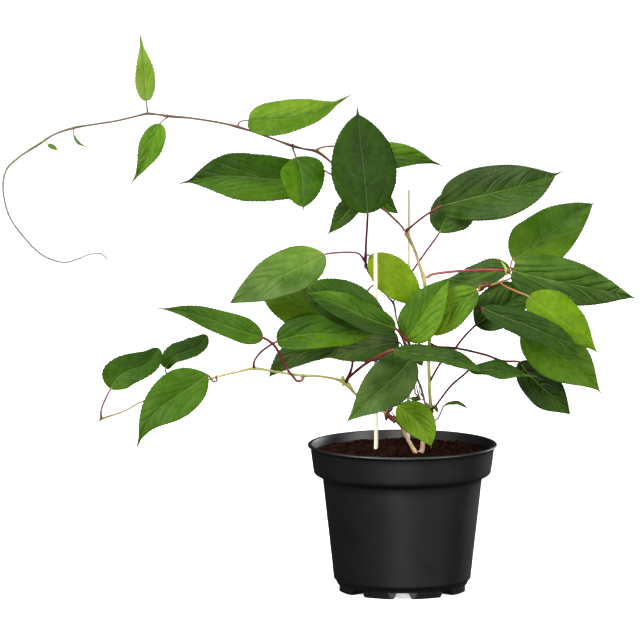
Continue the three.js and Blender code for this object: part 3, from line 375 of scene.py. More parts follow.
def place(point):
    """A point given across, up and in depth as the eye sees it, in metres in the model's frame."""
    across, up, depth = point[:3]
    height = (up - depth * math.sin(EYE_ELEVATION)) / math.cos(EYE_ELEVATION)
    return np.array([across, depth, height]) * MM


def unit(vector):
    """The vector at length 1."""
    return vector / np.linalg.norm(vector)


def srgb(code):
    """An sRGB hex colour as linear red, green, blue and alpha."""
    parts = [int(code[i:i + 2], 16) / 255 for i in (1, 3, 5)]
    return (*(c / 12.92 if c <= 0.04045 else ((c + 0.055) / 1.055) ** 2.4 for c in parts), 1.0)


def read_leaf(row):
    """A leaf's row with a name for each value, its hundredths as parts of 1."""
    leaf = dict(zip(ROW, row))
    parts = zip(SHAPE + LOOK, leaf["shape"] + leaf["look"])
    return leaf | {name: value / 100 for name, value in parts}


def put(name, data):
    """A new object in the scene."""
    thing = bpy.data.objects.new(name, data)
    bpy.context.scene.collection.objects.link(thing)
    return thing


class Body:
    """Gathers points and faces, then makes one mesh object of them."""

    def __init__(self):
        self.points = []
        self.faces = []
        self.coats = []
        self.maps = []
        self.count = 0

    def add(self, points, faces, coat=0, maps=None):
        """Adds points, faces that index them, the faces' material and the points' flat places, with
        the part of the way along as a third number."""
        self.points.append(np.asarray(points, float))
        self.faces += [tuple(self.count + i for i in face) for face in faces]
        self.coats += [coat] * len(faces)
        self.maps.append(np.zeros((len(points), 3)) if maps is None else np.asarray(maps, float))
        self.count += len(points)

    def make(self, name, materials, map_name="bark", about=None):
        """The object, with smooth shading; about holds more values for each point."""
        mesh = bpy.data.meshes.new(name)
        points = np.concatenate(self.points)
        mesh.from_pydata(points.tolist(), [], self.faces)
        for material in materials:
            mesh.materials.append(material)
        mesh.polygons.foreach_set("material_index", np.array(self.coats, np.int32))
        mesh.polygons.foreach_set("use_smooth", np.ones(len(self.faces), bool))
        corner = np.empty(len(mesh.loops), np.int32)
        mesh.loops.foreach_get("vertex_index", corner)
        maps = np.concatenate(self.maps)
        mesh.uv_layers.new(name=map_name).uv.foreach_set("vector", maps[corner, :2].ravel())
        for attribute, values in {"part": maps[:, 2], **(about or {})}.items():
            layer = mesh.attributes.new(attribute, "FLOAT", "POINT")
            layer.data.foreach_set("value", values.astype(np.float32))
        mesh.update()
        return put(name, mesh)


def dress(piece, slot, *nodes):
    """The piece rides on the model and stands for its nodes, which it hides; the slot is not used."""
    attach(piece, "root")
    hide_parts(*nodes)


# Materials


def feed(node, inputs):
    """Gives inputs their values, or links them to the node or output that feeds them. A list is for
    the inputs that the node shows, in their order."""
    if isinstance(inputs, list):
        inputs = dict(zip([i for i, socket in enumerate(node.inputs) if socket.enabled], inputs))
    for socket, value in inputs.items():
        if isinstance(value, bpy.types.Node):
            value = next(output for output in value.outputs if output.enabled)
        if isinstance(value, bpy.types.NodeSocket):
            node.id_data.links.new(value, node.inputs[socket])
        else:
            node.inputs[socket].default_value = value


def add(tree, kind, inputs=None, stops=(), **settings):
    """A new node with its inputs and settings; a ramp's stops are a place from 0 to 1 and a colour."""
    node = tree.nodes.new(f"ShaderNode{kind}")
    for name, value in settings.items():
        setattr(node, name, value)
    for i, (at, tone) in enumerate(stops):
        ramp = node.color_ramp.elements
        stop = ramp[i] if i < len(ramp) else ramp.new(1)
        stop.position = at
        stop.color = tone
    feed(node, inputs or {})
    return node


def blank(name):
    """A new material with its node tree and its shader."""
    material = bpy.data.materials.new(name)
    material.use_nodes = True
    return material, material.node_tree, material.node_tree.nodes["Principled BSDF"]


def per_metre(size_mm):
    """The scale of a pattern whose cells are that many millimetres wide."""
    return 1 / (size_mm * MM)


def moulded_polypropylene(pot):
    """Black polypropylene, injection moulded: satin, with a faint orange peel and a trace of dust."""
    material, tree, shader = blank("moulded_black_polypropylene")
    where = add(tree, "TexCoord").outputs["Object"]
    peel = add(tree, "TexNoise", [where, per_metre(1.6), 2])
    scuffs = add(tree, "TexNoise", [where, per_metre(26), 6, 0.65])
    dusty = add(tree, "MapRange", [scuffs, 0.5, 0.78, 0, pot.dust])
    feed(shader, {
        "Base Color": add(tree, "Mix", [dusty, pot.plastic, pot.dust_colour], data_type="RGBA"),
        "Roughness": add(tree, "MapRange", [scuffs, 0.3, 0.7, pot.roughness - 0.02, pot.roughness + 0.03]),
        "Normal": add(tree, "Bump", {"Strength": 0.2, "Distance": 0.1 * MM, "Height": peel}),
        "IOR": 1.49, "Specular IOR Level": pot.gloss})
    return material


def potting_soil(soil):
    """Moist peat potting soil: nearly black, with red-brown fibres and crumbs that catch the light."""
    material, tree, shader = blank("moist_peat_soil")
    where = add(tree, "TexCoord").outputs["Object"]
    clods = add(tree, "TexNoise", [where, per_metre(7), 8, 0.7])
    grit = add(tree, "TexVoronoi", [where, per_metre(1.3)])
    tone = add(tree, "Math", [clods, grit], operation="MULTIPLY")
    feed(shader, {
        "Base Color": add(tree, "ValToRGB", [tone], [(0.22, soil.peat), (0.44, soil.fibre)]),
        "Normal": add(tree, "Bump", {"Strength": 0.7, "Distance": 0.8 * MM, "Height": tone}),
        "Roughness": 1, "Specular IOR Level": 0.05})
    return material


def split_cane(canes):
    """Split, dried cane: pale cream, matt, with fine fibres along its length."""
    material, tree, shader = blank("dried_split_cane")
    drawn = add(tree, "Mapping", {
        "Vector": add(tree, "UVMap", uv_map="bark"), "Scale": (26, per_metre(14), 1)})
    fibre = add(tree, "TexNoise", [drawn, 1, 5, 0.6])
    feed(shader, {
        "Base Color": add(tree, "Mix", [fibre, canes.fibre, canes.face], data_type="RGBA"),
        "Normal": add(tree, "Bump", {"Strength": 0.5, "Distance": 0.25 * MM, "Height": fibre}),
        "Roughness": 0.7})
    return material


def young_bark(name, tones):
    """Young bark or the skin of a leaf stalk: changes colour along the shoot, with streaks along it
    and pale specks; tones are (part of the way, light tone, dark tone)."""
    material, tree, shader = blank(name)
    part = add(tree, "Attribute", attribute_name="part").outputs["Fac"]
    drawn = add(tree, "Mapping", {
        "Vector": add(tree, "UVMap", uv_map="bark"), "Scale": (5, per_metre(9), 1)})
    streaks = add(tree, "TexNoise", [drawn, 1, 4, 0.6])
    specks = add(tree, "TexVoronoi", [add(tree, "TexCoord").outputs["Object"], per_metre(1.8)])
    light, dark = (
        add(tree, "ValToRGB", [part], [(stop[0], srgb(stop[i])) for stop in tones]) for i in (1, 2))
    streaked = add(tree, "MapRange", [streaks, 0.3, 0.7])
    mottled = add(tree, "Mix", [streaked, dark, light], data_type="RGBA")
    spotted = add(tree, "MapRange", [specks, 0.12, 0.22, 0.35, 0])
    feed(shader, {
        "Base Color": add(tree, "Mix", [spotted, mottled, light], data_type="RGBA"),
        "Normal": add(tree, "Bump", {"Strength": 0.4, "Distance": 0.2 * MM, "Height": streaks}),
        "Roughness": 0.5, "Specular IOR Level": 0.3})
    return material


def vein_pattern(tree):
    """A blade's veins: the lines of its side veins, the line of its midrib, and how far the skin is sunk
    beside the side veins, from 1 in the crease to 0 on the crest between two of them."""
    phase, edge, off_midrib = (add(tree, "Attribute", attribute_name=name).outputs["Fac"]
                               for name in ("vein_phase", "edge", "off_midrib"))
    away = add(tree, "Math", [phase, 0.5], operation="PINGPONG")
    inland = add(tree, "MapRange", [edge, 0.45, 0.95, 1, 0])
    lines = []
    for sharpness, width in ((0.015, 0.075), (0.02, 0.26)):
        line = add(tree, "MapRange", [away, sharpness, width, 1, 0], interpolation_type="SMOOTHSTEP")
        lines.append(add(tree, "Math", [line, inland], operation="MULTIPLY"))
    midrib = add(
        tree, "MapRange", [off_midrib, 0.2 * MM, 0.7 * MM, 1, 0], interpolation_type="SMOOTHSTEP")
    return lines[0], midrib, lines[1]


def leaf_face(name, leaves, old, face, young):
    """Upper side of a leaf: waxy skin, satin, with painted shade in the creases at the side veins, a thin
    pale midrib, a greyer waxy bloom with a painted sheen mostly on the crests of some leaves and a dark
    line round its edge; its tone also holds each leaf's painted light and shade."""
    material, tree, shader = blank(name)
    where = add(tree, "TexCoord").outputs["Object"]
    edge, part, youth_and_light, bloom_and_sheen, pucker = (
        add(tree, "Attribute", attribute_name=given).outputs["Fac"]
        for given in ("edge", "part", "youth_and_light", "bloom_and_sheen", "pucker"))
    side_veins, midrib, sunk = vein_pattern(tree)
    patches = add(tree, "TexNoise", [where, per_metre(22), 3])
    mottle = add(tree, "TexNoise", [where, per_metre(5), 3, 0.6])
    veinlets = add(tree, "TexVoronoi", [where, per_metre(3)], feature="DISTANCE_TO_EDGE")

    # Tone, from the oldest look at 0 to the youngest at 1, with each leaf's painted light and shade in it,
    # and painted shade in the creases
    uneven = add(tree, "MapRange", [patches.outputs["Color"], 0.35, 0.65, 0.35, 1])
    depth = add(tree, "Math", [uneven, pucker], operation="MULTIPLY")
    crease = add(tree, "Math", [sunk, depth], operation="MULTIPLY")
    drift = add(tree, "MapRange", [patches, 0.3, 0.7, 0.4, 0.6])
    age_and_light = add(tree, "Math", [youth_and_light, 0.5, drift], operation="MULTIPLY_ADD")
    flecks = add(tree, "MapRange", [mottle, 0.35, 0.65, -1, 1])
    netted = add(tree, "Math", [flecks, leaves.mottle, age_and_light], operation="MULTIPLY_ADD")
    tone = add(tree, "Math", [crease, -leaves.painted_crease_shade, netted], operation="MULTIPLY_ADD")
    skin = add(tree, "ValToRGB", [tone], [(0, old), (0.5, face), (1, young)])

    # Wax bloom with a painted sheen: a greyer colour in patches, mostly on the crests between the side
    # veins
    crest = add(tree, "MapRange", [crease, 0, 1, 1, 0.1])
    patchy = add(tree, "MapRange", [patches, 0.35, 0.65, 0.4, 1.6])
    patchy_wax_and_sheen = add(tree, "Math", [bloom_and_sheen, patchy], operation="MULTIPLY")
    wax_and_sheen = add(tree, "Math", [patchy_wax_and_sheen, crest], operation="MULTIPLY")
    bloomed_and_sheened = add(tree, "Mix", [wax_and_sheen, skin, leaves.bloom_and_sheen], data_type="RGBA")

    # Pale midrib that fades towards the tip, fainter side veins, dark edge
    fading = add(tree, "MapRange", [part, 0.1, 0.9, 1, 0.25])
    clear = add(tree, "MapRange", [pucker, 0, 1, 0.35, 1])
    rib = add(tree, "Math", [midrib, clear], operation="MULTIPLY")
    rib_pale = add(tree, "Math", [rib, fading], operation="MULTIPLY")
    side = add(tree, "Math", [side_veins, depth], operation="MULTIPLY")
    side_pale = add(tree, "Math", [side, 0.42], operation="MULTIPLY")
    pale = add(tree, "Math", [rib_pale, side_pale], operation="MAXIMUM")
    paleness = add(tree, "Math", [pale, leaves.vein_paleness], operation="MULTIPLY")
    veined = add(tree, "Mix", [paleness, bloomed_and_sheened, leaves.vein_colour], data_type="RGBA")
    rim = add(tree, "MapRange", [edge, 0.93, 1, 0, 0.55])
    rimmed = add(tree, "Mix", [rim, veined, old], data_type="RGBA")

    # Relief: the creases, and the cells between the finest veins
    cells = add(tree, "MapRange", [veinlets, 0, 0.3, 0, 0.6])
    height = add(
        tree, "Math", [crease, -leaves.crease_depth / SKIN_RELIEF, cells], operation="MULTIPLY_ADD")
    feed(shader, {
        "Base Color": rimmed,
        "Roughness": add(tree, "MapRange", [
            patches, 0.3, 0.7, leaves.roughness - 0.05, leaves.roughness + 0.07]),
        "Normal": add(tree, "Bump", {"Strength": 0.8, "Distance": SKIN_RELIEF, "Height": height}),
        "IOR": 1.45, "Specular IOR Level": leaves.gloss})
    return material


def leaf_underside(name, leaves, face):
    """Underside of a leaf: paler, matt and greyer, with raised veins."""
    material, tree, shader = blank(name)
    where = add(tree, "TexCoord").outputs["Object"]
    side_veins, midrib, _ = vein_pattern(tree)
    veins = add(tree, "Math", [side_veins, midrib], operation="MAXIMUM")
    patches = add(tree, "TexNoise", [where, per_metre(9), 4])
    paler = add(tree, "Mix", [patches, face, leaves.underside], data_type="RGBA")
    paleness = add(tree, "Math", [veins, 0.7], operation="MULTIPLY")
    feed(shader, {
        "Base Color": add(tree, "Mix", [paleness, paler, leaves.vein_colour], data_type="RGBA"),
        "Normal": add(tree, "Bump", {"Strength": 0.6, "Distance": SKIN_RELIEF, "Height": veins}),
        "Roughness": 0.65})
    return material


# Shapes


def smooth_route(points, radii, step):
    """Centres and radii along a smooth curve through the points, about one step apart."""
    ends = [2 * points[0] - points[1], *points, 2 * points[-1] - points[-2]]
    centres, widths = [], []
    for i in range(len(points) - 1):
        p0, p1, p2, p3 = ends[i:i + 4]
        d0, d1, d2 = (math.sqrt(np.linalg.norm(b - a)) for a, b in ((p0, p1), (p1, p2), (p2, p3)))
        leave = ((p1 - p0) / d0 - (p2 - p0) / (d0 + d1) + (p2 - p1) / d1) * d1
        arrive = ((p2 - p1) / d1 - (p3 - p1) / (d1 + d2) + (p3 - p2) / d2) * d1
        pieces = max(2, round(np.linalg.norm(p2 - p1) / step))
        for j in range(pieces):
            f = j / pieces
            centres.append(p1 + f * (leave + f * (
                3 * (p2 - p1) - 2 * leave - arrive + f * (2 * (p1 - p2) + leave + arrive))))
            ease = f * f * (3 - 2 * f)
            widths.append(radii[i] + (radii[i + 1] - radii[i]) * ease)
    centres.append(points[-1])
    widths.append(radii[-1])
    return np.array(centres), np.array(widths)


def tube(body, centres, widths, sides, coat=0, parts=(0, 1)):
    """Adds a closed round tube; parts are the places on its bark's ramp of its start and its end."""
    along = np.gradient(centres, axis=0)
    across = np.array([0.0, 1.0, 0.0] if abs(unit(along[0])[0]) > 0.8 else [1.0, 0.0, 0.0])
    angles = np.arange(sides) * 2 * math.pi / sides
    travelled = np.concatenate([[0], np.cumsum(np.linalg.norm(np.diff(centres, axis=0), axis=1))])
    ramp = parts[0] + (parts[1] - parts[0]) * travelled / travelled[-1]
    points, maps = [], []
    for centre, direction, width, far, part in zip(centres, along, widths, travelled, ramp):
        direction = unit(direction)
        across = unit(across - direction * across.dot(direction))
        around = np.cross(direction, across)
        ring = np.outer(np.cos(angles), across) + np.outer(np.sin(angles), around)
        points.append(centre + ring * width)
        maps.append(np.column_stack([
            angles / (2 * math.pi), np.full(sides, far), np.full(sides, part)]))
    rings = len(centres)
    faces = [
        (r * sides + k, r * sides + (k + 1) % sides, (r + 1) * sides + (k + 1) % sides, (r + 1) * sides + k)
        for r in range(rings - 1) for k in range(sides)]
    faces.append(tuple(reversed(range(sides))))
    faces.append(tuple((rings - 1) * sides + k for k in range(sides)))
    body.add(np.concatenate(points), faces, coat, np.concatenate(maps))


def bud(body, root, tip, radius, coat, parts=(0, 0.2), sides=8):
    """Adds a pointed bud."""
    rise = np.array([0, 0.12, 0.3, 0.5, 0.7, 0.87, 0.96, 1])
    swell = np.array([0.55, 0.85, 1, 0.98, 0.8, 0.45, 0.2, 0.05])
    tube(body, root + np.outer(rise, tip - root), radius * swell, sides, coat, parts)


def spike(body, root, tip, radius, coat):
    """Adds a three-sided hair."""
    along = unit(tip - root)
    across = unit(np.cross(along, UP + 0.3 * TO_EYE))
    around = np.cross(along, across)
    ring = [root + radius * (math.cos(a) * across + math.sin(a) * around)
            for a in (0, 2 * math.pi / 3, 4 * math.pi / 3)]
    body.add([*ring, tip], [(2, 1, 0), (0, 1, 3), (1, 2, 3), (2, 0, 3)], coat, [(0, 0, HAIR_TONE)] * 4)


def lathe(profile, sides):
    """Points and faces of a closed body turned from a profile that starts and ends on the axis."""
    angles = np.arange(sides) * 2 * math.pi / sides
    middle = profile[1:-1]
    points = [[0, 0, profile[0][1]], [0, 0, profile[-1][1]]]
    for radius, height in middle:
        points += [[radius * math.cos(a), radius * math.sin(a), height] for a in angles]
    faces = []
    last = 2 + (len(middle) - 1) * sides
    for k in range(sides):
        n = (k + 1) % sides
        faces.append((0, 2 + n, 2 + k))
        faces.append((1, last + k, last + n))
        for r in range(len(middle) - 1):
            at = 2 + r * sides
            faces.append((at + k, at + n, at + sides + n, at + sides + k))
    return np.array(points) * MM, faces


def outline(t, length, half_width, leaf):
    """Half width at parts t of a blade's length: an oval that runs out into a thin drawn tip."""
    widest, drip = leaf["widest"], leaf["drip"]
    base = np.clip(1 - (1 - t / widest) ** 2, 0, 1) ** leaf["heel"]
    head = np.clip((t - widest) / (1 - drip - widest), 0, 1)
    oval = np.where(t < widest, base, (1 - head ** 2) ** leaf["taper"])
    return np.hypot(oval * half_width, TIP_SLOPE * length * np.minimum(1 - t, drip))


def blade(leaf, leaves, rng):
    """The mesh of one leaf blade, its two sides joined round a toothed edge."""
    foot = place(leaf["base"])
    along = place(leaf["tip"]) - foot
    length = np.linalg.norm(along)
    along = along / length
    facing = unit(TO_EYE - along * TO_EYE.dot(along))
    upward = np.cross(facing, along)
    if upward[2] + 0.2 * upward[0] < 0:
        upward = -upward
    turn = math.radians(leaf["turn"])
    face = facing * math.cos(turn) + upward * math.sin(turn)
    side = upward * math.cos(turn) - facing * math.sin(turn)
    half_width = leaf["width"] * MM / 2 / math.cos(turn)

    # Rows along the blade, four for each tooth, and columns across it
    teeth = max(4, round(length / leaves.tooth_spacing))
    even = np.linspace(0, 1, 4 * teeth + 1)
    t = (even + (1 - np.cos(math.pi * even)) / 2) / 2
    full = outline(t, length, half_width, leaf)
    cut = leaves.tooth_depth * (1 - (even * teeth) % 1) * np.clip(full / (6 * MM) - 0.3, 0, 1)
    reach = np.maximum(full - cut, 0.25 * MM)
    columns = 16 if leaf["width"] > NARROW else 8
    s = np.linspace(-1, 1, 2 * columns + 1)
    s = np.sign(s) * np.abs(s) ** 1.5
    row = t[:, None]
    x = reach[:, None] * s * (1 + (leaf["skew"] + leaf["lean"] * (1 - 2 * row)) * np.sign(s))
    part = np.abs(x) / half_width
    edge = np.abs(s)[None, :] * np.ones_like(row)

    # Side veins, counted from the base: whole numbers on a vein, halves midway between two
    wander = rng.uniform(0, 2 * math.pi, 3)
    pairs = leaves.vein_pairs + rng.uniform(-0.8, 0.8)
    phase = (row - part * (VEIN_SLANT + VEIN_BOW * part)) * pairs + 0.3 * (s > 0)
    phase = phase + 0.16 * np.sin(2.3 * phase + wander[0]) + 0.14 * np.sin(6 * part + 5 * row + wander[1])

    # Height of the face, and what the groove, the rib and the ridges add under smooth skin
    between = np.abs(np.sin(math.pi * phase)) ** 0.8
    inside = np.sin(math.pi * edge ** 0.8)
    scale = min(1, length / (FULL_SIZE * MM))
    slope = math.sin(leaf["fold"]) * np.abs(x) * (1.35 - 0.5 * edge)
    wave = leaves.margin_wave * scale * edge ** 2 * np.sin(
        2 * math.pi * (row * rng.uniform(1.6, 2.6) + np.where(s > 0, rng.uniform(), rng.uniform()))
    ) * np.sin(math.pi * row)
    lift = slope + wave + leaf["pucker"] * leaves.quilting * scale * between * inside
    groove = GROOVE[0] * MM * scale * np.exp(-(x / (GROOVE[1] * MM)) ** 2)
    rib = (RIB[0] + RIB[1] * (1 - row)) * MM * scale * np.exp(-(x / (RIB[2] * MM)) ** 2)
    off_vein = np.minimum(phase % 1, 1 - phase % 1)
    ridge = RIDGE[0] * MM * scale * np.exp(-(off_vein / RIDGE[1]) ** 2) * inside
    half = leaves.blade_thickness / 2 * (1 - 0.6 * edge ** 2)

    # The bowed midrib, and the blade's own directions along it
    arch, sweep, curl = leaf["arch"], leaf["sweep"], leaf["curl"]
    climb = sweep * np.sin(math.pi * t) + curl * np.sin(2 * math.pi * t)
    climbing = math.pi * (sweep * np.cos(math.pi * t) + 2 * curl * np.cos(2 * math.pi * t))
    middle = (foot + np.outer(length * t, along) + np.outer(length * arch * np.sin(math.pi * t), facing)
              + np.outer(length * climb, upward))
    tangent = (along + np.outer(arch * math.pi * np.cos(math.pi * t), facing)
               + np.outer(climbing, upward))
    tangent /= np.linalg.norm(tangent, axis=1)[:, None]
    across = side - tangent * (tangent @ side)[:, None]
    across /= np.linalg.norm(across, axis=1)[:, None]
    outward = np.cross(tangent, across)
    turned = outward[0].dot(face) < 0
    if turned:
        outward = -outward

    def sheet(height):
        """The points of one side of the blade."""
        flat = middle[:, None, :] + across[:, None, :] * (x * math.cos(leaf["fold"]))[:, :, None]
        return (flat + outward[:, None, :] * height[:, :, None]).reshape(-1, 3)

    top = sheet(lift - groove + half)
    under = sheet(lift - half - rib - ridge)
    count = x.size
    grid = np.arange(count).reshape(x.shape)
    quads = np.stack([grid[:-1, :-1], grid[:-1, 1:], grid[1:, 1:], grid[1:, :-1]], axis=-1).reshape(-1, 4)
    rim = np.concatenate([grid[0, :], grid[1:, -1], grid[-1, -2::-1], grid[-2:0:-1, 0]])
    ahead = np.roll(rim, -1)
    border = np.stack([rim, rim + count, ahead + count, ahead], axis=-1)
    upper = quads if turned else quads[:, ::-1]
    lower = (quads[:, ::-1] if turned else quads) + count
    if not turned:
        border = border[:, ::-1]

    rows_of = np.broadcast_to(row, x.shape)
    maps = np.stack([0.5 + 0.5 * x / half_width, rows_of, rows_of], axis=-1).reshape(-1, 3)
    body = Body()
    body.add(np.concatenate([top, under]), upper.tolist(), 0, np.concatenate([maps, maps]))
    body.faces += [tuple(f) for f in lower.tolist()] + [tuple(f) for f in border.tolist()]
    body.coats += [1] * (len(lower) + len(border))
    # Tone of each point: how young or old the leaf looks, together with painted light and shade, lighter or
    # darker over the whole blade, its ends and its halves for the light that each leaf gets
    half_tone_and_light = np.where(s > 0, leaf["upper"], leaf["lower"]) * np.clip(edge * 3, 0, 1)
    youth_and_light = leaf["youth_and_light"] + leaf["foot"] * (1 - row) ** 2 + leaf["end"] * row ** 2 + half_tone_and_light
    one = np.ones_like(edge)
    about = {"edge": edge, "youth_and_light": youth_and_light, "bloom_and_sheen": leaf["bloom_and_sheen"] * one, "pucker": leaf["pucker"] * one,
             "vein_phase": phase, "off_midrib": np.abs(x)}
    return body, {name: np.tile(values.ravel(), 2) for name, values in about.items()}


# Settings


def colour(name, description, code):
    """A colour that the user can change."""
    return FloatVectorProperty(
        name=name, description=description, default=srgb(code), size=4, subtype="COLOR", min=0, max=1)


def measure(name, description, default, low, high):
    """A length that the user can change, given in millimetres."""
    return FloatProperty(
        name=name, description=description, default=default * MM, min=low * MM, max=high * MM,
        unit="LENGTH")


def share(name, description, default, low=0):
    """A part of the whole, up to 1, that the user can change."""
    return FloatProperty(
        name=name, description=description, default=default, min=low, max=1, subtype="FACTOR")


def number(name, description, default, low, high):
    """A whole number that the user can change."""
    return IntProperty(name=name, description=description, default=default, min=low, max=high)


def draw_start(what, default):
    """The start of a random draw."""
    return IntProperty(name="Seed", description=f"Start of the random draw of the {what}", default=default)


class PotSettings(bpy.types.PropertyGroup):
    """Sizes and colours of the pot."""

    sides: number("Sides", "Facets round the pot", 192, 48, 360)
    dust: share("Dust", "How much soil dust lies on the plastic", 0.05)
    roughness: share("Roughness", "Roughness of the plastic", 0.42, 0.1)
    gloss: share("Gloss", "Strength of the plastic's reflections", 0.85)
    plastic: colour("Plastic", "Colour of the black plastic", "#0C0C0D")
    dust_colour: colour("Dust colour", "Colour of the dust on the plastic", "#3A342E")


class SoilSettings(bpy.types.PropertyGroup):
    """Sizes and colours of the soil."""

    roughness: measure("Roughness", "Height of the soil's clods", 2.4, 0, 6)
    crumbs: number("Crumbs", "Loose crumbs on the soil", 420, 0, 900)
    crumb_size: measure("Crumb size", "Radius of a large crumb", 2.2, 0.5, 5)
    seed: draw_start("crumbs", 7)
    peat: colour("Peat", "Colour of the moist peat", "#030100")
    fibre: colour("Fibre", "Colour of the drier fibres", "#3E1C10")


class CaneSettings(bpy.types.PropertyGroup):
    """Sizes and colours of the canes."""

    bow: measure("Bow", "How far a cane bows out of line", 0.8, 0, 4)
    face: colour("Face", "Colour of the split cane", "#FFFCEA")
    fibre: colour("Fibre", "Colour of the cane's fibres", "#EFE6C0")


class ShootSettings(bpy.types.PropertyGroup):
    """Sizes of the stems and stalks."""

    step: measure("Ring step", "Distance between the rings of a stem", 1.5, 0.5, 6)
    hair_length: measure("Hair length", "Length of the hairs on the young shoots", 4.6, 0, 8)
    hairs: number("Hairs", "Hairs on the upper runner", 50, 0, 4000)
    seed: draw_start("hairs", 11)


class LeafSettings(bpy.types.PropertyGroup):
    """Sizes and colours of the leaf blades."""

    blade_thickness: measure("Blade thickness", "Thickness of a blade at its midrib", 0.4, 0.1, 0.8)
    tooth_spacing: measure("Tooth spacing", "Distance from tooth to tooth", 3, 1, 9)
    tooth_depth: measure("Tooth depth", "Depth of the notch between two teeth", 1, 0, 3)
    quilting: measure("Quilting", "How far the blade swells between two side veins", 1.4, 0, 3)
    crease_depth: measure("Crease depth", "How far the skin is sunk at a side vein", 0.5, 0, 2)
    # Painted shade: how much darker the colour is made in the creases at the side veins
    painted_crease_shade: share("Crease shade", "How much darker the skin is at a side vein", 0.19)
    mottle: share("Mottle", "How much the fine mottling changes the tone", 0.09)
    margin_wave: measure("Margin wave", "How far the blade's edge waves", 1.4, 0, 5)
    vein_pairs: number("Vein pairs", "Side veins on each half", 5, 3, 14)
    vein_paleness: share("Vein paleness", "How pale the midrib is on the upper side", 0.34)
    roughness: share("Roughness", "Roughness of the upper side", 0.38, 0.1)
    gloss: share("Gloss", "Strength of the upper side's reflections", 0.09)
    # Wax bloom with a painted sheen: a greyer colour laid on in patches, mostly on the crests between the
    # veins
    bloom_and_sheen: colour("Bloom", "Colour of the wax bloom", "#758A50")
    seed: draw_start("waves", 3)
    vein_colour: colour("Veins", "Colour of the veins", "#9DB36A")
    underside: colour("Underside", "Colour of the blades' undersides", "#8FAA72")


class StageSettings(bpy.types.PropertyGroup):
    """The floor, the lights and the camera."""

    floor_radius: measure("Floor radius", "Radius of the floor", 14000, 2000, 50000)
    floor: colour("Floor", "Colour of the floor", "#F4F4F3")
    floor_light: FloatProperty(
        name="Floor light", description="Strength of the light that only the floor gets", default=1.6,
        min=0)
    room_light: FloatProperty(
        name="Room light", description="Strength of the light from all round", default=0.15, min=0)
    room_gleam: FloatProperty(
        name="Room gleam", description="How bright the room looks in a glossy skin", default=0.03, min=0)
    floor_glow: FloatProperty(
        name="Floor glow", description="How much the floor shines of itself, so its shadow stays faint",
        default=0.6, min=0)
    view_width: measure("View width", "Width that the camera takes in", 640, 100, 5000)
    distance: measure("Distance", "Distance from the camera to the vine", 12000, 1000, 50000)
    elevation: FloatProperty(
        name="Elevation", description="Height of the camera above level", default=EYE_ELEVATION,
        subtype="ANGLE")


# The shades of the leaves: the oldest, the usual and the youngest look of each
SHADES = {
    "lime": ("#3D5F06", "#68880C", "#96A824"),
    "fresh": ("#2B4B04", "#476E06", "#708F14"),
    "mid": ("#1F3A03", "#355904", "#56780C"),
    "dark": ("#182E02", "#2A4A04", "#416208"),
    "deep": ("#0E1D02", "#193103", "#2B4A06"),
}
# Bark of the shoots and skin of the stalks: part of the way along, light tone, dark tone
BARKS = {
    "woody_stem": ((0.1, "#F0D0AE", "#C09870"), (0.45, "#E2BE9C", "#A07A5C"), (0.62, "#8A5A3A", "#4A2A1C"),
                   (1, "#6A3A26", "#33170F")),
    "green_stem": ((0.1, "#DDB89A", "#A47C5E"), (0.25, "#C9A585", "#8A6848"), (0.3, "#CDD286", "#868C44"),
                   (0.72, "#C8CC78", "#7A8038"), (0.84, "#C8B288", "#7A6838"), (1, "#94804E", "#5A4A28")),
    "brown_runner": ((0, "#86744A", "#504226"), (0.12, "#845A4A", "#4A3026"), (0.45, "#70563E", "#3E2E1E"),
                     (0.75, "#767050", "#46422C"), (0.9, "#8E8C84", "#5E5C56"), (1, "#A8A6A0", "#7C7A74")),
    "pale_runner": ((0, "#A8985C", "#6E6030"), (0.12, "#C4C07C", "#8E8848"), (0.3, "#D2D296", "#A0A058"),
                    (0.75, "#BCB672", "#867E42"), (1, "#9E905C", "#6C5E34")),
    "dark_twig": ((0, "#8A7460", "#4A3A2C"), (0.25, "#6E5A48", "#3A2A20"), (0.45, "#5E3A2C", "#2C1812"),
                  (1, "#5A3028", "#2A1210")),
    "rose_shoot": ((0, "#B08060", "#6A4634"), (0.12, "#B4685C", "#7C3438"), (0.4, "#AC4A52", "#6C222E"),
                   (1, "#A84C50", "#702630")),
    "tan_twig": ((0, "#C0A268", "#806434"), (1, "#9A6A3A", "#4E2C14")),
    "lime_bud": ((0, "#B4C050", "#7C8A28"), (1, "#D2E886", "#94B438")),
    "brown_bud": ((0, "#8A4E24", "#3E1C0C"), (1, "#6E3416", "#2A1008")),
    "green_stalk": ((0, "#9DA860", "#6A7434"), (1, "#A8BC60", "#748838")),
    "brown_stalk": ((0, "#A06838", "#5E3620"), (0.8, "#C08A58", "#7A4E2C"), (1, "#A8A058", "#6E7234")),
    "grey_stalk": ((0, "#5E483C", "#34241E"), (1, "#7A6858", "#4A3A32")),
    "red_stalk": ((0, "#6A2430", "#3A0E18"), (0.6, "#7E2C32", "#4A141E"), (0.85, "#8E3E34", "#58221E"),
                  (1, "#985440", "#643026")),
    "dark_stalk": ((0, "#782038", "#400E1C"), (0.85, "#7C2438", "#46101E"), (1, "#7E503A", "#4A2C1E")),
    "mauve_stalk": ((0, "#7E3648", "#4E1C2C"), (0.9, "#9C5470", "#6C3450"), (1, "#A8A070", "#6C6A3C")),
    "brick_stalk": ((0, "#B08070", "#7A4A3C"), (0.3, "#94483C", "#5C241E"), (1, "#8A3C32", "#54201A")),
}
# For each shoot, the bark of each of its routes and the record's slot
SHOOT_BARKS = {
    "main_stem": (("green_stem", "woody_stem", "green_stem"), "stem_olive"),
    "upper_runner": (("brown_runner",), "stem_brown"),
    "lower_runner": (("pale_runner",), "stem_green"),
    "centre_twig": (("dark_twig",) * 4, "stem_dark"),
    "right_shoot": (("rose_shoot", "tan_twig", "lime_bud"), "stem_red"),
}

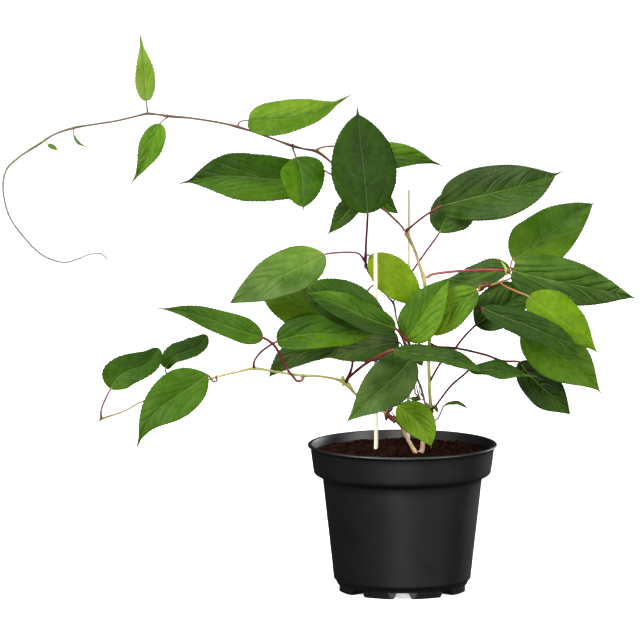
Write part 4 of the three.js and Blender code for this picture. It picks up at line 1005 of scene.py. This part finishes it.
# Buds and the ends of dried shoots: shoot, bark, root, tip and radius
BUDS = (
    ("lower_runner", "lime_bud", (-57, 208, 0), (-62, 214.5, -1), 1.4),
    ("lower_runner", "lime_bud", (-58, 208, 0), (-59.5, 216, -2), 1.1),
    ("lower_runner", "lime_bud", (-56, 208, 1), (-56, 214, -3), 1),
    ("lower_runner", "lime_bud", (-58, 206, 0), (-61, 204, -3), 1.3),
    ("right_shoot", "lime_bud", (104.5, 315, -2), (102, 325, -5), 1.3),
    ("right_shoot", "brown_bud", (88.5, 303.5, -5), (79.5, 308, -8), 2.4),
    ("right_shoot", "brown_bud", (86, 306, -8), (77, 301, -6), 2.1),
    ("right_shoot", "brown_bud", (82, 303, -4), (76.5, 298, -4), 1.5),
    ("main_stem", "dark_stalk", (-10, 182, -6), (-17, 176, -7), 1.9),
    ("main_stem", "brown_bud", (-16, 180, -6), (-16, 168.5, -7), 2.4),
    ("main_stem", "dark_stalk", (-14, 173, -6), (-9, 168, -6), 1.4),
    ("main_stem", "brown_bud", (-7, 172, -6), (-9.5, 166, -7), 1.8),
    ("main_stem", "brown_bud", (-4, 168, -8), (-1, 173, -10), 2.2),
    ("main_stem", "brown_bud", (27, 181, -5), (31.5, 177.5, -7), 2.1),
    ("main_stem", "green_stem", (27.5, 183, -4), (23, 188, -6), 1.5),
    ("main_stem", "brown_bud", (3.2, 358, 9), (4.5, 362.5, 8), 1.2),
)

# Thin dry twigs and shoot ends: shoot, bark and route
CURLS = (
    ("main_stem", "green_stem", ((-12, 174, -5, 1.2), (-17.5, 177.5, -8, 1), (-20.5, 178.5, -9, 0.5))),
    ("main_stem", "dark_stalk", ((-11, 178, -6, 0.6), (-8.5, 174.5, -7, 0.7), (-5.5, 170.5, -7, 0.8))),
    ("centre_twig", "dark_twig", ((15.5, 194, -8, 0.9), (12.5, 197, -9, 0.9), (12.5, 201, -9, 0.8),
                                  (10.5, 205.5, -9, 0.6))),
    ("centre_twig", "dark_twig", ((18, 190, -9, 0.9), (15.5, 197, -10, 0.8), (13.8, 205, -10, 0.6))),
)

# Softboxes: name, power, width and place seen from the middle of the vine, in metres
VINE_MIDDLE = Vector((-82.5, 0, 272.8)) * MM
LAMPS = (
    ("key_softbox", 80, 1.2, (-1.5, -1.4, 1.5)),
    ("fill_softbox", 34, 1.2, (1.9, -1.3, 0.6)),
    ("top_softbox", 36, 1.4, (0.3, 0.1, 2.2)),
    ("front_softbox", 34, 0.7, (0.0, -3, 0.2)),
    ("back_softbox", 30, 0.9, (1.9, 1.9, 0.2)),
)


# Pieces


class KIWI_OT_stage(bpy.types.Operator):
    """Makes the floor, the lights and the camera"""

    bl_idname = "kiwi.stage"
    bl_label = "Stage"

    def execute(self, context):
        """Adds the floor, the soft lights and the camera, which looks a little down."""
        stage = context.scene.kiwi_stage
        context.scene.view_settings.view_transform = "Standard"
        self.floor(stage)
        self.room(context.scene)
        for name, power, size, spot in LAMPS:
            box = bpy.data.lights.new(name, "AREA")
            box.energy = power
            box.shape = "SQUARE"
            box.size = size
            self.aim(put(name, box), Vector(spot))

        lens = bpy.data.cameras.new("camera")
        lens.sensor_width = 36
        lens.lens = lens.sensor_width * stage.distance / stage.view_width
        lens.clip_end = 4 * stage.distance
        context.scene.camera = put("camera", lens)
        back = Vector((0, -math.cos(stage.elevation), math.sin(stage.elevation)))
        self.aim(context.scene.camera, back, stage.distance)
        return {"FINISHED"}

    def aim(self, thing, direction, distance=1):
        """Puts a lamp or the camera that way from the middle of the vine and turns it back to it."""
        thing.location = VINE_MIDDLE + direction * distance
        thing.rotation_mode = "QUATERNION"
        thing.rotation_quaternion = (-direction).to_track_quat("-Z", "Y")

    def floor(self, stage):
        """A pale round floor with a soft light of its own that reaches nothing else."""
        material, _, shader = blank("matt_white_floor")
        feed(shader, {"Base Color": stage.floor, "Roughness": 0.9, "Emission Color": stage.floor,
                      "Emission Strength": stage.floor_glow})
        mesh = bpy.data.meshes.new("floor")
        shape = bmesh.new()
        bmesh.ops.create_circle(shape, cap_ends=True, segments=96, radius=stage.floor_radius)
        shape.to_mesh(mesh)
        shape.free()
        mesh.materials.append(material)
        floor = put("floor", mesh)
        floor.visible_glossy = False
        floor.visible_diffuse = False
        sun = bpy.data.lights.new("floor_light", "SUN")
        sun.energy = stage.floor_light
        sun.angle = math.radians(70)
        lamp = put("floor_light", sun)
        lamp.location = (0, 0, 3)
        lit = bpy.data.collections.new("lit_floor")
        lit.objects.link(floor)
        lamp.light_linking.receiver_collection = lit

    def room(self, scene):
        """A room that looks white and gives the vine little light of its own."""
        scene.world = bpy.data.worlds.new("soft_white_room")
        scene.world.use_nodes = True
        tree = scene.world.node_tree
        rays = add(tree, "LightPath").outputs
        soft = add(tree, "MapRange", [
            rays["Is Glossy Ray"], 0, 1, scene.kiwi_stage.room_light, scene.kiwi_stage.room_gleam])
        strength = add(tree, "MapRange", [rays["Is Camera Ray"], 0, 1, soft, 1])
        feed(tree.nodes["Background"], {"Color": (1, 1, 1, 1), "Strength": strength})


class KIWI_OT_pot(bpy.types.Operator):
    """Makes the nursery pot"""

    bl_idname = "kiwi.pot"
    bl_label = "Pot"

    def execute(self, context):
        """Turns the pot from its profile and cuts the drainage notches and channels."""
        pot = context.scene.kiwi_pot

        def near(corner, *steps):
            """Points at small steps outwards and upwards from a corner."""
            return [(corner[0] + out, corner[1] + up) for out, up in steps]

        def between(low, high, parts):
            """Points at parts of the way from one corner to another."""
            return [(low[0] + (high[0] - low[0]) * part, low[1] + (high[1] - low[1]) * part)
                    for part in parts]

        lip = (RIM_RADIUS - LIP_ROLL, POT_HEIGHT - LIP_ROLL)
        body = Body()
        body.add(*lathe([
            (0, 0),
            *near(BASE, (-1, 0), (-0.3, 0.3), (0, 1), (0.3, 5)),
            *near(STEP, (-0.2, -0.6), (0.4, 0.8)),
            *near(BODY_FOOT, (-1.5, -1.9), (-0.5, -0.8), (0, 0), (0.1, 1)),
            *between(BODY_FOOT, SHOULDER, np.linspace(0.05, 0.99, 14)),
            *near(SHOULDER, (0.3, 0.3), (1.4, 1.3), (3.6, 2.3)),
            *near(BAND_FOOT, (-2.6, -2.9), (-1.1, -1.9), (-0.3, -0.7), (0, 0.6)),
            *between(BAND_FOOT, (BAND_TOP[0], POT_HEIGHT - 4.6), np.linspace(0.1, 1, 6)),
            *near(BAND_TOP, (0.3, -3.7), (0.8, -3.1)),
            *near(lip, *((LIP_ROLL * math.cos(a), LIP_ROLL * math.sin(a))
                         for a in np.radians(np.linspace(-75, 90, 12)))),
            *near(BAND_TOP, (-0.4, -0.05), (-1.2, -0.5), (-WALL, -1.6)),
            *reversed(INSIDE),
        ], pot.sides))
        piece = body.make("nursery_pot", [moulded_polypropylene(pot)])

        tools = [self.cutter(name, *sizes) for name, sizes in CUTS.items()]
        for tool in tools:
            cut = piece.modifiers.new(tool.name, "BOOLEAN")
            cut.object = tool
            cut.operation = "DIFFERENCE"
        piece.data = bpy.data.meshes.new_from_object(
            piece.evaluated_get(context.evaluated_depsgraph_get()))
        piece.modifiers.clear()
        for tool in tools:
            bpy.data.objects.remove(tool)
        piece.data.set_sharp_from_angle(angle=math.radians(38))
        dress(piece, "pot_plastic", "pot")
        return {"FINISHED"}

    def cutter(self, name, top_width, foot_width, near):
        """Wedges round the foot, from a radius outwards, which cut the notches or the channels."""
        half, low = top_width / 2, NOTCH_HEIGHT - NOTCH_CORNER
        section = [(-foot_width / 2, -1), (foot_width / 2, -1), (half, low),
                   (half - NOTCH_CORNER, NOTCH_HEIGHT), (NOTCH_CORNER - half, NOTCH_HEIGHT), (-half, low)]
        count = len(section)
        sides = [(k, (k + 1) % count, (k + 1) % count + count, k + count) for k in range(count)]
        wedges = Body()
        for i in range(NOTCH_COUNT):
            spin = Matrix.Rotation(2 * math.pi * i / NOTCH_COUNT, 3, "Z")
            points = [spin @ Vector((x, -y, z)) * MM for y in (near, RIM_RADIUS) for x, z in section]
            wedges.add(points, [*sides, tuple(reversed(range(count))), tuple(range(count, 2 * count))])
        return wedges.make(name, [])


class KIWI_OT_soil(bpy.types.Operator):
    """Makes the soil and its loose crumbs"""

    bl_idname = "kiwi.soil"
    bl_label = "Soil"

    def execute(self, context):
        """Roughens the top of the soil and strews crumbs on it."""
        soil = context.scene.kiwi_soil
        rng = np.random.default_rng(soil.seed)
        bed = [(max(r - SEAT_GAP, 0), z + SEAT_GAP) for r, z in INSIDE]
        rings = [(SOIL_EDGE * r, SOIL_LEVEL) for r in np.linspace(1, 0, 76)]
        points, faces = lathe([*bed, *rings], 220)

        def ground(x, y):
            """Height of the soil above its level."""
            at = Vector((x, y, 0)) * per_metre(CLOD_WIDTH)
            rim = min(1, (SOIL_EDGE * MM - math.hypot(x, y)) / (6 * MM))
            lumps = noise.fractal(at, 0.9, 2.1, 5) + 0.5 * abs(noise.noise(at * 3.1))
            return soil.roughness * (0.7 * lumps - 0.4 * (1 - rim))

        for point in points:
            if point[2] > (SOIL_LEVEL - 0.5) * MM:
                point[2] += ground(point[0], point[1])
        body = Body()
        body.add(points, faces)

        ball = bmesh.new()
        bmesh.ops.create_icosphere(ball, subdivisions=2, radius=1)
        ball.verts.index_update()
        shape = [vertex.co.copy() for vertex in ball.verts]
        skin = [tuple(v.index for v in face.verts) for face in ball.faces]
        ball.free()
        for _ in range(soil.crumbs):
            away = (SOIL_EDGE - 3) * MM * math.sqrt(rng.uniform())
            angle = rng.uniform(0, 2 * math.pi)
            x, y = away * math.cos(angle), away * math.sin(angle)
            size = soil.crumb_size * rng.uniform(0.25, 1) ** 1.7
            stretch = Vector(rng.uniform((0.7, 0.7, 0.5), (1.5, 1.1, 0.9)))
            facing, tilt = rng.uniform(0, math.pi), rng.uniform(0, 0.6)
            spin = Matrix.Rotation(facing, 3, "Z") @ Matrix.Rotation(tilt, 3, "X")
            shift = Vector(rng.uniform(-9, 9, 3))
            centre = Vector((x, y, SOIL_LEVEL * MM + ground(x, y) + 0.3 * size))
            body.add([
                centre + spin @ Vector(a * b for a, b in zip(
                    v * size * (1 + 0.35 * noise.noise(v * 1.7 + shift)), stretch))
                for v in shape], skin)
        dress(body.make("potting_soil", [potting_soil(soil)]), "potting_soil", "soil")
        return {"FINISHED"}


class KIWI_OT_canes(bpy.types.Operator):
    """Makes the two split canes"""

    bl_idname = "kiwi.canes"
    bl_label = "Canes"

    def execute(self, context):
        """Draws each cane as a slightly bowed stick with a knot and a flat split side."""
        canes = context.scene.kiwi_canes
        material = split_cane(canes)
        for name, (foot, top) in CANES.items():
            low, high = place(foot), place(top)
            parts = np.linspace(0, 1, 90)
            sway = canes.bow * np.sin(math.pi * parts)
            centres = low + np.outer(parts, high - low) + np.outer(sway, [1, 0, 0])
            widths = (foot[3] + (top[3] - foot[3]) * parts) * MM
            knot = np.exp(-((parts - KNOT_AT) / KNOT_LENGTH) ** 2)
            widths = widths * (0.93 + 0.04 * np.sin(parts * 23) + 0.07 * knot)
            widths[-1] *= 0.8
            body = Body()
            tube(body, centres, widths, STEM_SIDES)
            skin = body.points[0].reshape(len(parts), STEM_SIDES, 3)
            for ring, centre, width in zip(skin, centres, widths):
                ring[:, 1] = np.minimum(ring[:, 1], centre[1] + SPLIT_SIDE * width)
            piece = body.make(f"split_{name}", [material])
            piece.data.set_sharp_from_angle(angle=math.radians(50))
            dress(piece, "split_cane", name)
        return {"FINISHED"}


class KIWI_OT_shoots(bpy.types.Operator):
    """Makes the stems with their leaf stalks and buds"""

    bl_idname = "kiwi.shoots"
    bl_label = "Stems and stalks"

    def execute(self, context):
        """Draws each shoot along its routes, with the stalks of its leaves."""
        shoots = context.scene.kiwi_shoots
        rng = np.random.default_rng(shoots.seed)
        materials = [young_bark(name, tones) for name, tones in BARKS.items()]
        coats = {name: i for i, name in enumerate(BARKS)}
        leaves = [read_leaf(row) for row in LEAVES.values()]
        for name, routes in SHOOTS.items():
            barks, slot = SHOOT_BARKS[name]
            body = Body()
            curls = [(route, bark) for carrier, bark, route in CURLS if carrier == name]
            for route, bark in [*zip(routes, barks), *curls]:
                centres, widths = self.along(route, shoots)
                widths[-1] *= END_TAPER
                tube(body, centres, widths, STEM_SIDES, coats[bark])
            for carrier, bark, root, tip, radius in BUDS:
                if carrier == name:
                    bud(body, place(root), place(tip), radius * MM, coats[bark], (0, 1))
            for leaf in leaves:
                if leaf["shoot"] == name:
                    self.stalk(body, leaf, coats[f"{leaf['stalk']}_stalk"], shoots)
            if name == "upper_runner":
                self.hairs(body, routes[0][HAIRY_FROM:], coats[barks[0]], shoots, rng)
            dress(body.make(f"{name}_with_stalks", materials), slot, name)
        return {"FINISHED"}

    def along(self, route, shoots):
        """Centres and radii along a route."""
        radii = [point[3] * MM for point in route]
        return smooth_route([place(point) for point in route], radii, shoots.step)

    def stalk(self, body, leaf, coat, shoots):
        """Adds one leaf stalk, wider where it leaves the shoot, and the bud above it."""
        points = [place(point) for point in (*leaf["route"], leaf["base"])]
        radius = leaf["stalk_radius"] * MM
        radii = [radius * STALK_FLARE] + [radius] * (len(points) - 1)
        into = unit(place(leaf["tip"]) - points[-1])
        points.append(points[-1] + into * STALK_UNDER_BLADE * MM)
        radii.append(radius * END_TAPER)
        centres, widths = smooth_route(points, radii, shoots.step)
        tube(body, centres, widths, STALK_SIDES, coat)
        start = points[0]
        rising = unit(UP + 0.6 * unit(points[1] - start))
        size = leaf["bud"] * MM
        if size > 0:
            bud(body, start, start + (2 * radius + 2.6 * size) * rising, 1.25 * size, coat)

    def hairs(self, body, route, coat, shoots, rng):
        """Strews short hairs over the young end of a shoot."""
        centres, widths = self.along(route, shoots)
        for _ in range(shoots.hairs):
            i = int(rng.integers(1, len(centres) - 1))
            along = unit(centres[i + 1] - centres[i - 1])
            loose = rng.normal(size=3)
            out = unit(loose - along * loose.dot(along))
            root = centres[i] + out * widths[i] * 0.8
            tip = root + shoots.hair_length * rng.uniform(0.5, 1.2) * unit(out + 0.7 * along)
            tip[0] = max(tip[0], cad_box[0][0])
            spike(body, root, tip, HAIR_RADIUS * MM, coat)


class KIWI_OT_leaves(bpy.types.Operator):
    """Makes the leaf blades"""

    bl_idname = "kiwi.leaves"
    bl_label = "Leaves"

    def execute(self, context):
        """Makes each blade as a piece of its own."""
        leaves = context.scene.kiwi_leaves
        faces = {}
        for shade, tones in SHADES.items():
            old, face, young = (srgb(tone) for tone in tones)
            faces[shade] = [
                leaf_face(f"waxy_{shade}_leaf_face", leaves, old, face, young),
                leaf_underside(f"matt_{shade}_leaf_underside", leaves, young)]
        for i, (name, row) in enumerate(LEAVES.items()):
            leaf = read_leaf(row)
            body, about = blade(leaf, leaves, np.random.default_rng(leaves.seed + i))
            piece = body.make(f"{name}_blade", faces[leaf["shade"]], "blade", about)
            dress(piece, f"leaf_{leaf['shade']}", name)
        return {"FINISHED"}


OPERATORS = (
    KIWI_OT_stage, KIWI_OT_pot, KIWI_OT_soil, KIWI_OT_canes, KIWI_OT_shoots, KIWI_OT_leaves)
SETTINGS = {
    "kiwi_stage": StageSettings,
    "kiwi_pot": PotSettings,
    "kiwi_soil": SoilSettings,
    "kiwi_canes": CaneSettings,
    "kiwi_shoots": ShootSettings,
    "kiwi_leaves": LeafSettings,
}


class KIWI_PT_panel(bpy.types.Panel):
    """Lists the pieces and their settings"""

    bl_idname = "KIWI_PT_panel"
    bl_label = "Kiwi vine"
    bl_space_type = "VIEW_3D"
    bl_region_type = "UI"
    bl_category = "Kiwi vine"

    def draw(self, context):
        """Draws a box for each piece."""
        for operator, name in zip(OPERATORS, SETTINGS):
            box = self.layout.box()
            box.operator(operator.bl_idname)
            settings = getattr(context.scene, name)
            for key in settings.bl_rna.properties.keys():
                if key not in ("rna_type", "name"):
                    box.prop(settings, key)


def register():
    """Registers the classes and hangs their settings on the scene."""
    for made in (*SETTINGS.values(), *OPERATORS, KIWI_PT_panel):
        bpy.utils.register_class(made)
    for name, settings in SETTINGS.items():
        setattr(bpy.types.Scene, name, PointerProperty(type=settings))


def unregister():
    """Takes back what register did."""
    for name in SETTINGS:
        delattr(bpy.types.Scene, name)
    for made in (KIWI_PT_panel, *OPERATORS, *SETTINGS.values()):
        bpy.utils.unregister_class(made)


def main():
    """Makes every piece."""
    register()
    for make in (bpy.ops.kiwi.stage, bpy.ops.kiwi.pot, bpy.ops.kiwi.soil, bpy.ops.kiwi.canes,
                 bpy.ops.kiwi.shoots, bpy.ops.kiwi.leaves):
        make()


if __name__ == "__main__":
    main()
